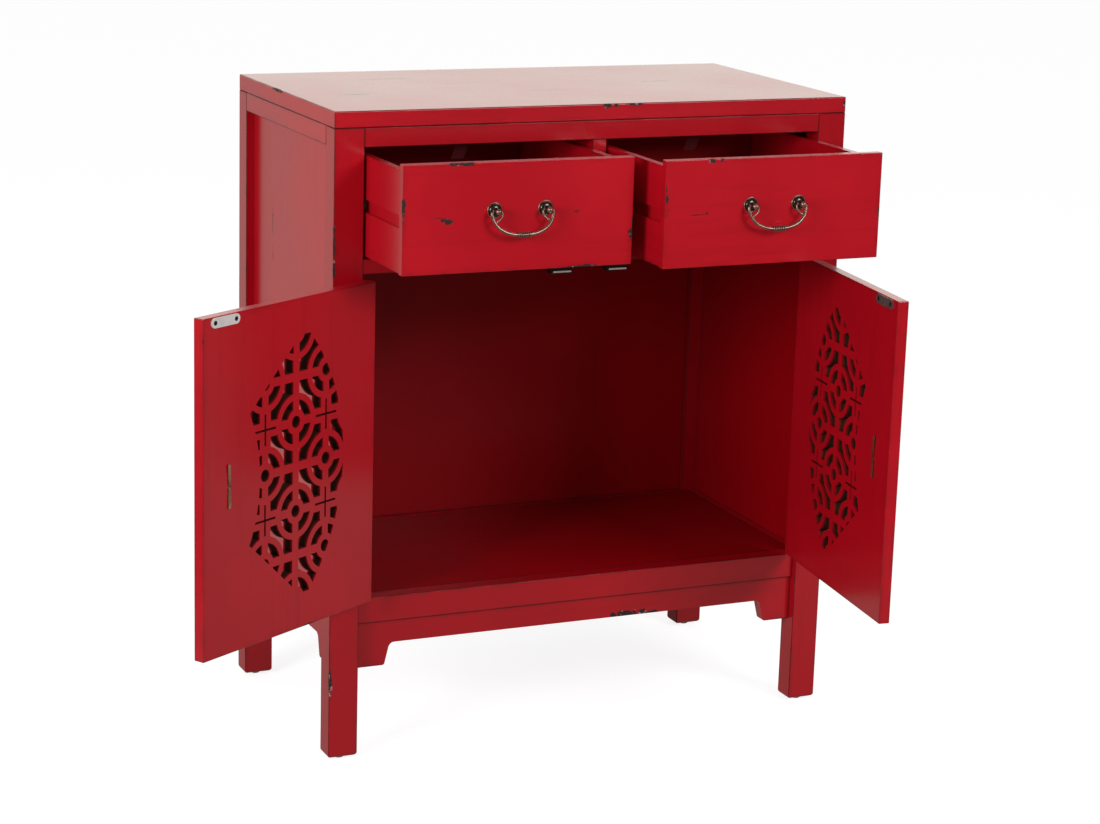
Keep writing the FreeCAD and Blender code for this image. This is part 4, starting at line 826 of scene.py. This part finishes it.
def pull_plate():
    """Round back plate turned about its middle: rolled rim, two fine rings, a dish and a domed boss."""
    edge = np.linspace(0.0, math.pi, 9)
    rim_middle = (PULL_PLATE_RADIUS - PULL_PLATE_RIM, PULL_PLATE_RIM_LIFT)
    rim = bulge(edge, rim_middle, (PULL_PLATE_RIM, PULL_PLATE_RIM))
    radius = np.linspace(DISH_OUTER, DISH_INNER, 40)
    dish = 0.75 + 0.35 * np.cos((radius - DISH_INNER) * math.pi / (DISH_OUTER - DISH_INNER)) ** 2
    for ring in DISH_RINGS:
        dish += DISH_RING_HEIGHT * np.exp(-((radius - ring) / DISH_RING_WIDTH) ** 2)
    arc = np.linspace(0.0, PULL_BOSS_ARC, 10)
    rise = (PULL_BOSS_HEIGHT + PULL_BOSS_SINK) / math.sin(PULL_BOSS_ARC)
    boss = bulge(arc, (SPLIT_PIN_RADIUS, PULL_PLATE_THICKNESS - PULL_BOSS_SINK), (PULL_BOSS_REACH, rise))
    top = PULL_PLATE_THICKNESS + PULL_BOSS_HEIGHT - 0.1
    middle = [(SPLIT_PIN_RADIUS, top), (TIP_RADIUS, top)]
    profile = np.vstack([[(PULL_PLATE_RADIUS - 0.3, 0.0)], rim, np.stack([radius, dish], -1), boss, middle])
    raised = np.concatenate([[0.2], 0.3 + 0.6 * np.sin(edge), 0.1 + 0.6 * (dish - dish.min()) / np.ptp(dish),
                             0.3 + 0.5 * np.sin(arc), [0.2, 0.2]])
    return turned(profile, raised, 72)


def pull_ring():
    """Ring of round wire, a circle in the plane of the door that thickens a little towards its foot."""
    angle = np.linspace(0.0, 2.0 * math.pi, 96, endpoint=False)
    path = np.stack([PULL_RING_RADIUS * np.sin(angle), 0.0 * angle, PULL_RING_RADIUS * np.cos(angle)], -1)
    low = (1.0 - np.cos(angle)) / 2
    return tube(path, PULL_RING_WIRE + 0.35 * low, 0.4 + 0.35 * low, 20, True)


def pin_eye():
    """Eye of the split pin: a small ring of wire that stands upright, across the plane of the door."""
    angle = np.linspace(0.0, 2.0 * math.pi, 40, endpoint=False)
    path = np.stack([PULL_EYE_RADIUS * np.cos(angle), 0.0 * angle, PULL_EYE_RADIUS * np.sin(angle)], -1)
    points, faces, raised = tube(path, np.full(40, PULL_EYE_WIRE), np.full(40, 0.6), 16, True)
    return np.stack([-points[:, 1], points[:, 0], points[:, 2]], -1), faces, raised


def pin_shank(start, end):
    """Plain round shank along y."""
    along = np.linspace(start, end, 8)
    return turned(np.stack([np.full(8, SPLIT_PIN_RADIUS - 0.1), -along], -1)[::-1], np.full(8, -0.5), 20)


def pin_leg(hand, lean, lift):
    """Half of the split pin, bent flat on the door: a rounded bar along a quarter bend and a straight run.

    The section is a flattened super-ellipse. The run leans sideways by lean and its tip rises by lift.
    """
    bend = np.linspace(0.0, math.pi / 2, 10)
    radius = SPLIT_LEG_THICKNESS * 0.9
    near = np.stack([radius * (1.0 - np.cos(bend)) * 0.9, radius * np.sin(bend) * 0.62], -1)
    run = np.linspace(near[-1, 0], SPLIT_LEG_LENGTH, 26)[1:]
    rise = near[-1, 1] + lift * ((run - run[0]) / np.ptp(run)) ** 1.6
    distance = np.concatenate([near[:, 0], run])
    height = np.concatenate([near[:, 1], rise])
    slope = np.arctan2(np.gradient(height), np.gradient(distance))
    share, grow = round_end(7, 1.6)
    tip = np.interp(SPLIT_LEG_LENGTH - distance, share, grow)
    turn = np.linspace(0.0, 2.0 * math.pi, 24, endpoint=False)
    flat = np.sign(np.cos(turn)) * np.abs(np.cos(turn)) ** 0.6
    thick = np.sign(np.sin(turn)) * np.abs(np.sin(turn)) ** 0.8
    across = (SPLIT_LEG_WIDTH / 2) * tip[:, None] * flat
    depth = (SPLIT_LEG_THICKNESS / 2 - 0.15) * tip[:, None] * thick
    x = across + (lean * distance)[:, None]
    y = height[:, None] + depth * np.cos(slope)[:, None]
    z = distance[:, None] - depth * np.sin(slope)[:, None]
    rings = np.stack([x, y, hand * z], -1)
    if hand > 0:
        rings = rings[:, ::-1]
    return rings_to_mesh(rings, 0.35 + 0.3 * np.clip(distance / SPLIT_LEG_LENGTH, 0, 1))


def at_door(side, skin, y, z):
    """Set a skin made round the origin on a door, at the pull's place, y from the pin and height z."""
    points, faces, raised = skin
    u = DOOR_FAR - PULL_FROM_EDGE - DOOR_SIDE[side] * points[:, 0]
    return on_door(side, u, y + points[:, 1], z + points[:, 2]), faces, raised


def glide_cap():
    """Nail-on glide turned about an upright axis: nail, flat top, rounded rim and a shallow foot."""
    arc = np.linspace(0.0, math.pi / 2, 10)
    rim = bulge(arc, (GLIDE_RADIUS - GLIDE_ROUND, GLIDE_EDGE), (GLIDE_ROUND, GLIDE_HEIGHT - GLIDE_EDGE))
    top = [(GLIDE_RADIUS - 0.4, 0.0), (GLIDE_RADIUS, 0.4)]
    profile = np.vstack([GLIDE_NAIL, top, rim, [(TIP_RADIUS, GLIDE_HEIGHT)]])
    points, faces, raised = turned(profile, np.zeros(len(profile)), 40)
    return np.stack([points[:, 0], -points[:, 2], GLIDE_HEIGHT + points[:, 1]], -1), faces, raised


plate_front = DOOR_FACE - PULL_PLATE_THICKNESS
eye_centre = plate_front - PULL_BOSS_HEIGHT - PULL_EYE_RADIUS - PULL_EYE_WIRE
ring_hang = PULL_EYE_RADIUS - PULL_EYE_WIRE - PULL_RING_WIRE - PULL_RING_HANG + PULL_RING_RADIUS
for side in SIDES:
    door = side + "_door"
    plate = [at_door(side, pull_plate(), DOOR_FACE, DOOR_MID)]
    piece(side + "_pull_back_plate", plate, antique_brass, door, side + "_pull_plate")
    pin = [at_door(side, pin_eye(), eye_centre, DOOR_MID),
           at_door(side, pin_shank(eye_centre + PULL_EYE_RADIUS, DOOR_REAR), 0.0, DOOR_MID)]
    for way, lean, lift in SPLIT_LEGS:
        leg = pin_leg(way, -DOOR_SIDE[side] * lean, lift)
        pin.append(at_door(side, leg, DOOR_REAR, DOOR_MID + way * SPLIT_LEG_GAP))
    piece(side + "_bent_pin", pin, pin_brass[side], door, side + "_split_pin")
    ring = [at_door(side, pull_ring(), eye_centre, DOOR_MID - ring_hang)]
    piece(side + "_ring_handle", ring, antique_brass, side + "_pull", side + "_pull_ring")

glides = []
for post in ("front_left", "front_right", "rear_left", "rear_right"):
    low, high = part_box(post + "_post")
    middle_x = (low.x + high.x) / 2 / MM
    middle_y = (low.y + high.y) / 2 / MM
    glides.append(scaled(moved(glide_cap(), (middle_x, middle_y, 0.0))))
piece("glide_caps", glides, nylon, "carcass", "leg_glides")

# Floor, light and camera

WHITE = (1.0, 1.0, 1.0, 1.0)
WARM_WHITE = (1.0, 0.985, 0.91, 1.0)
PAPER_DARK = (0.42, 0.42, 0.42, 1.0)
PAPER_LIGHT = (0.45, 0.45, 0.45, 1.0)
PAPER_SEEN = (0.40, 0.40, 0.40, 1.0)
PAPER_GLOW = 0.84
FLOOR_INNER = 0.2
FLOOR_OUTER = 30.0
FLOOR_RINGS = 40
FLOOR_SIDES = 96
WALL_WAY = (-0.25, 0.97, 0.0)
WALL_START = -0.25
WALL_END = 0.65
WALL_DIM = 0.01
WALL_BRIGHT = 1.15
FILL_STRENGTH = 0.35
LIGHT_AIM = (0.0, -0.2, 0.55)
KEY_PLACE = (-2.80, -1.57, 1.27)
FILL_PLACE = (1.25, -2.75, 1.85)


def sweep_floor():
    """Flat round floor: rings of points whose distance from the middle grows by a steady ratio.

    The fan that would close the outer ring is left out.
    """
    reach = np.geomspace(FLOOR_INNER, FLOOR_OUTER, FLOOR_RINGS)
    turn = np.linspace(0.0, 2.0 * math.pi, FLOOR_SIDES, endpoint=False)
    x = reach[:, None] * np.cos(turn)
    y = reach[:, None] * np.sin(turn)
    points, faces, _ = rings_to_mesh(np.stack([x, y, 0.0 * x], -1), np.zeros(FLOOR_RINGS))
    faces = faces[:-FLOOR_SIDES]
    mesh = bpy.data.meshes.new("studio_floor")
    mesh.from_pydata(points.tolist(), [], faces)
    floor = bpy.data.objects.new("studio_floor", mesh)
    scene.collection.objects.link(floor)
    return floor


def floor_finish():
    """White paper: white to the eye with a soft shadow; in gloss a pale pool of light round the object.

    The pool dims close to the object as a painted shadow of it, and towards the front and towards the far
    left.
    """
    finish = Finish("white_paper")
    fibres = finish.noise(finish.place, 60.0, 4.0, 0.6)
    paper = finish.blend(finish.ease(fibres, 0.3, 0.7), PAPER_DARK, PAPER_LIGHT)
    diffuse = finish.add("ShaderNodeBsdfDiffuse", {"Color": paper})
    sheet = finish.add("ShaderNodeBsdfDiffuse", {"Color": PAPER_SEEN})
    glow = finish.add("ShaderNodeEmission", {"Color": WHITE, "Strength": PAPER_GLOW})
    seen = finish.add("ShaderNodeAddShader", {0: sheet.outputs[0], 1: glow.outputs[0]})
    x, y, _ = finish.add("ShaderNodeSeparateXYZ", {0: finish.place}).outputs
    ahead = finish.sum("MAXIMUM", finish.sum("MULTIPLY", y, -1.0), 0.0)
    # The pool's dimming close to the object is a painted shadow of the object
    near = finish.ease(finish.arrow("LENGTH", finish.place), 0.35, 1.3, 0.6, 1.0)
    pool = finish.sum("MULTIPLY", finish.ease(ahead, 0.4, 1.8, 0.44, 0.015), near)
    left = finish.ease(x, -1.6, -0.9, 0.1, 1.0)
    behind = finish.ease(y, 0.3, 0.8)
    pool = finish.sum("MULTIPLY", pool, finish.sum("MAXIMUM", left, behind))
    gleam = finish.add("ShaderNodeEmission", {"Color": WARM_WHITE, "Strength": pool})
    looked, glossy = finish.rays_that_look()
    surface = finish.mix_shaders(glossy, finish.mix_shaders(looked, diffuse, seen), gleam)
    finish.feed(finish.tree.nodes["Material Output"].inputs["Surface"], surface.outputs[0])
    finish.tree.nodes.remove(finish.shader)
    finish.material.cycles.emission_sampling = "NONE"
    return finish.material


sweep_floor().data.materials.append(floor_finish())


def studio_world():
    """White to the eye and a grey fill; in gloss a white wall, behind and to the left, that dims forwards."""
    world = bpy.data.worlds.new("studio")
    scene.world = world
    world.use_nodes = True
    nodes = Nodes(world.node_tree)
    nodes.tree.nodes.clear()
    way = nodes.add("ShaderNodeTexCoord", {}).outputs["Generated"]
    toward = nodes.arrow("DOT_PRODUCT", way, WALL_WAY)
    wall = nodes.ease(toward, WALL_START, WALL_END, WALL_DIM, WALL_BRIGHT)
    fill = nodes.add("ShaderNodeBackground", {"Color": WHITE, "Strength": FILL_STRENGTH})
    gloss = nodes.add("ShaderNodeBackground", {"Color": WARM_WHITE, "Strength": wall})
    white = nodes.add("ShaderNodeBackground", {"Color": WHITE, "Strength": 1.0})
    looked, glossy = nodes.rays_that_look()
    surface = nodes.mix_shaders(looked, nodes.mix_shaders(glossy, fill, gloss), white)
    nodes.add("ShaderNodeOutputWorld", {"Surface": surface.outputs[0]})
    world.cycles.sampling_method = "NONE"


studio_world()


def softbox(name, place, aim, width, height, watts):
    """Rectangular softbox that looks from its place at a point."""
    data = bpy.data.lights.new(name, "AREA")
    data.shape = "RECTANGLE"
    data.size = width
    data.size_y = height
    data.energy = watts
    lamp = bpy.data.objects.new(name, data)
    lamp.location = place
    lamp.rotation_euler = (Vector(aim) - Vector(place)).to_track_quat("-Z", "Y").to_euler()
    scene.collection.objects.link(lamp)


softbox("key_softbox", KEY_PLACE, LIGHT_AIM, 1.0, 1.0, 56.0)
softbox("fill_softbox", FILL_PLACE, LIGHT_AIM, 1.2, 1.0, 45.0)

CAMERA_RIGHT = Vector((0.9127575, -0.40744792, 0.02932469))
CAMERA_UP = Vector((0.07186794, 0.2308339, 0.97033536))
CAMERA_BACK = Vector((-0.40213026, -0.88357337, 0.23997782))
CAMERA_PLACE = Vector((-1.40277, -3.14012, 1.22532))
CAMERA_LENS = 89.088
CAMERA_SENSOR = 36.0
CAMERA_CLIP = 100.0

camera_data = bpy.data.cameras.new("photo_camera")
camera_data.sensor_width = CAMERA_SENSOR
camera_data.lens = CAMERA_LENS
camera_data.clip_end = CAMERA_CLIP
camera = bpy.data.objects.new("photo_camera", camera_data)
turn = Matrix((CAMERA_RIGHT, CAMERA_UP, CAMERA_BACK)).transposed()
camera.matrix_world = Matrix.Translation(CAMERA_PLACE) @ turn.to_4x4()
scene.collection.objects.link(camera)
scene.camera = camera
scene.view_settings.view_transform = "Standard"
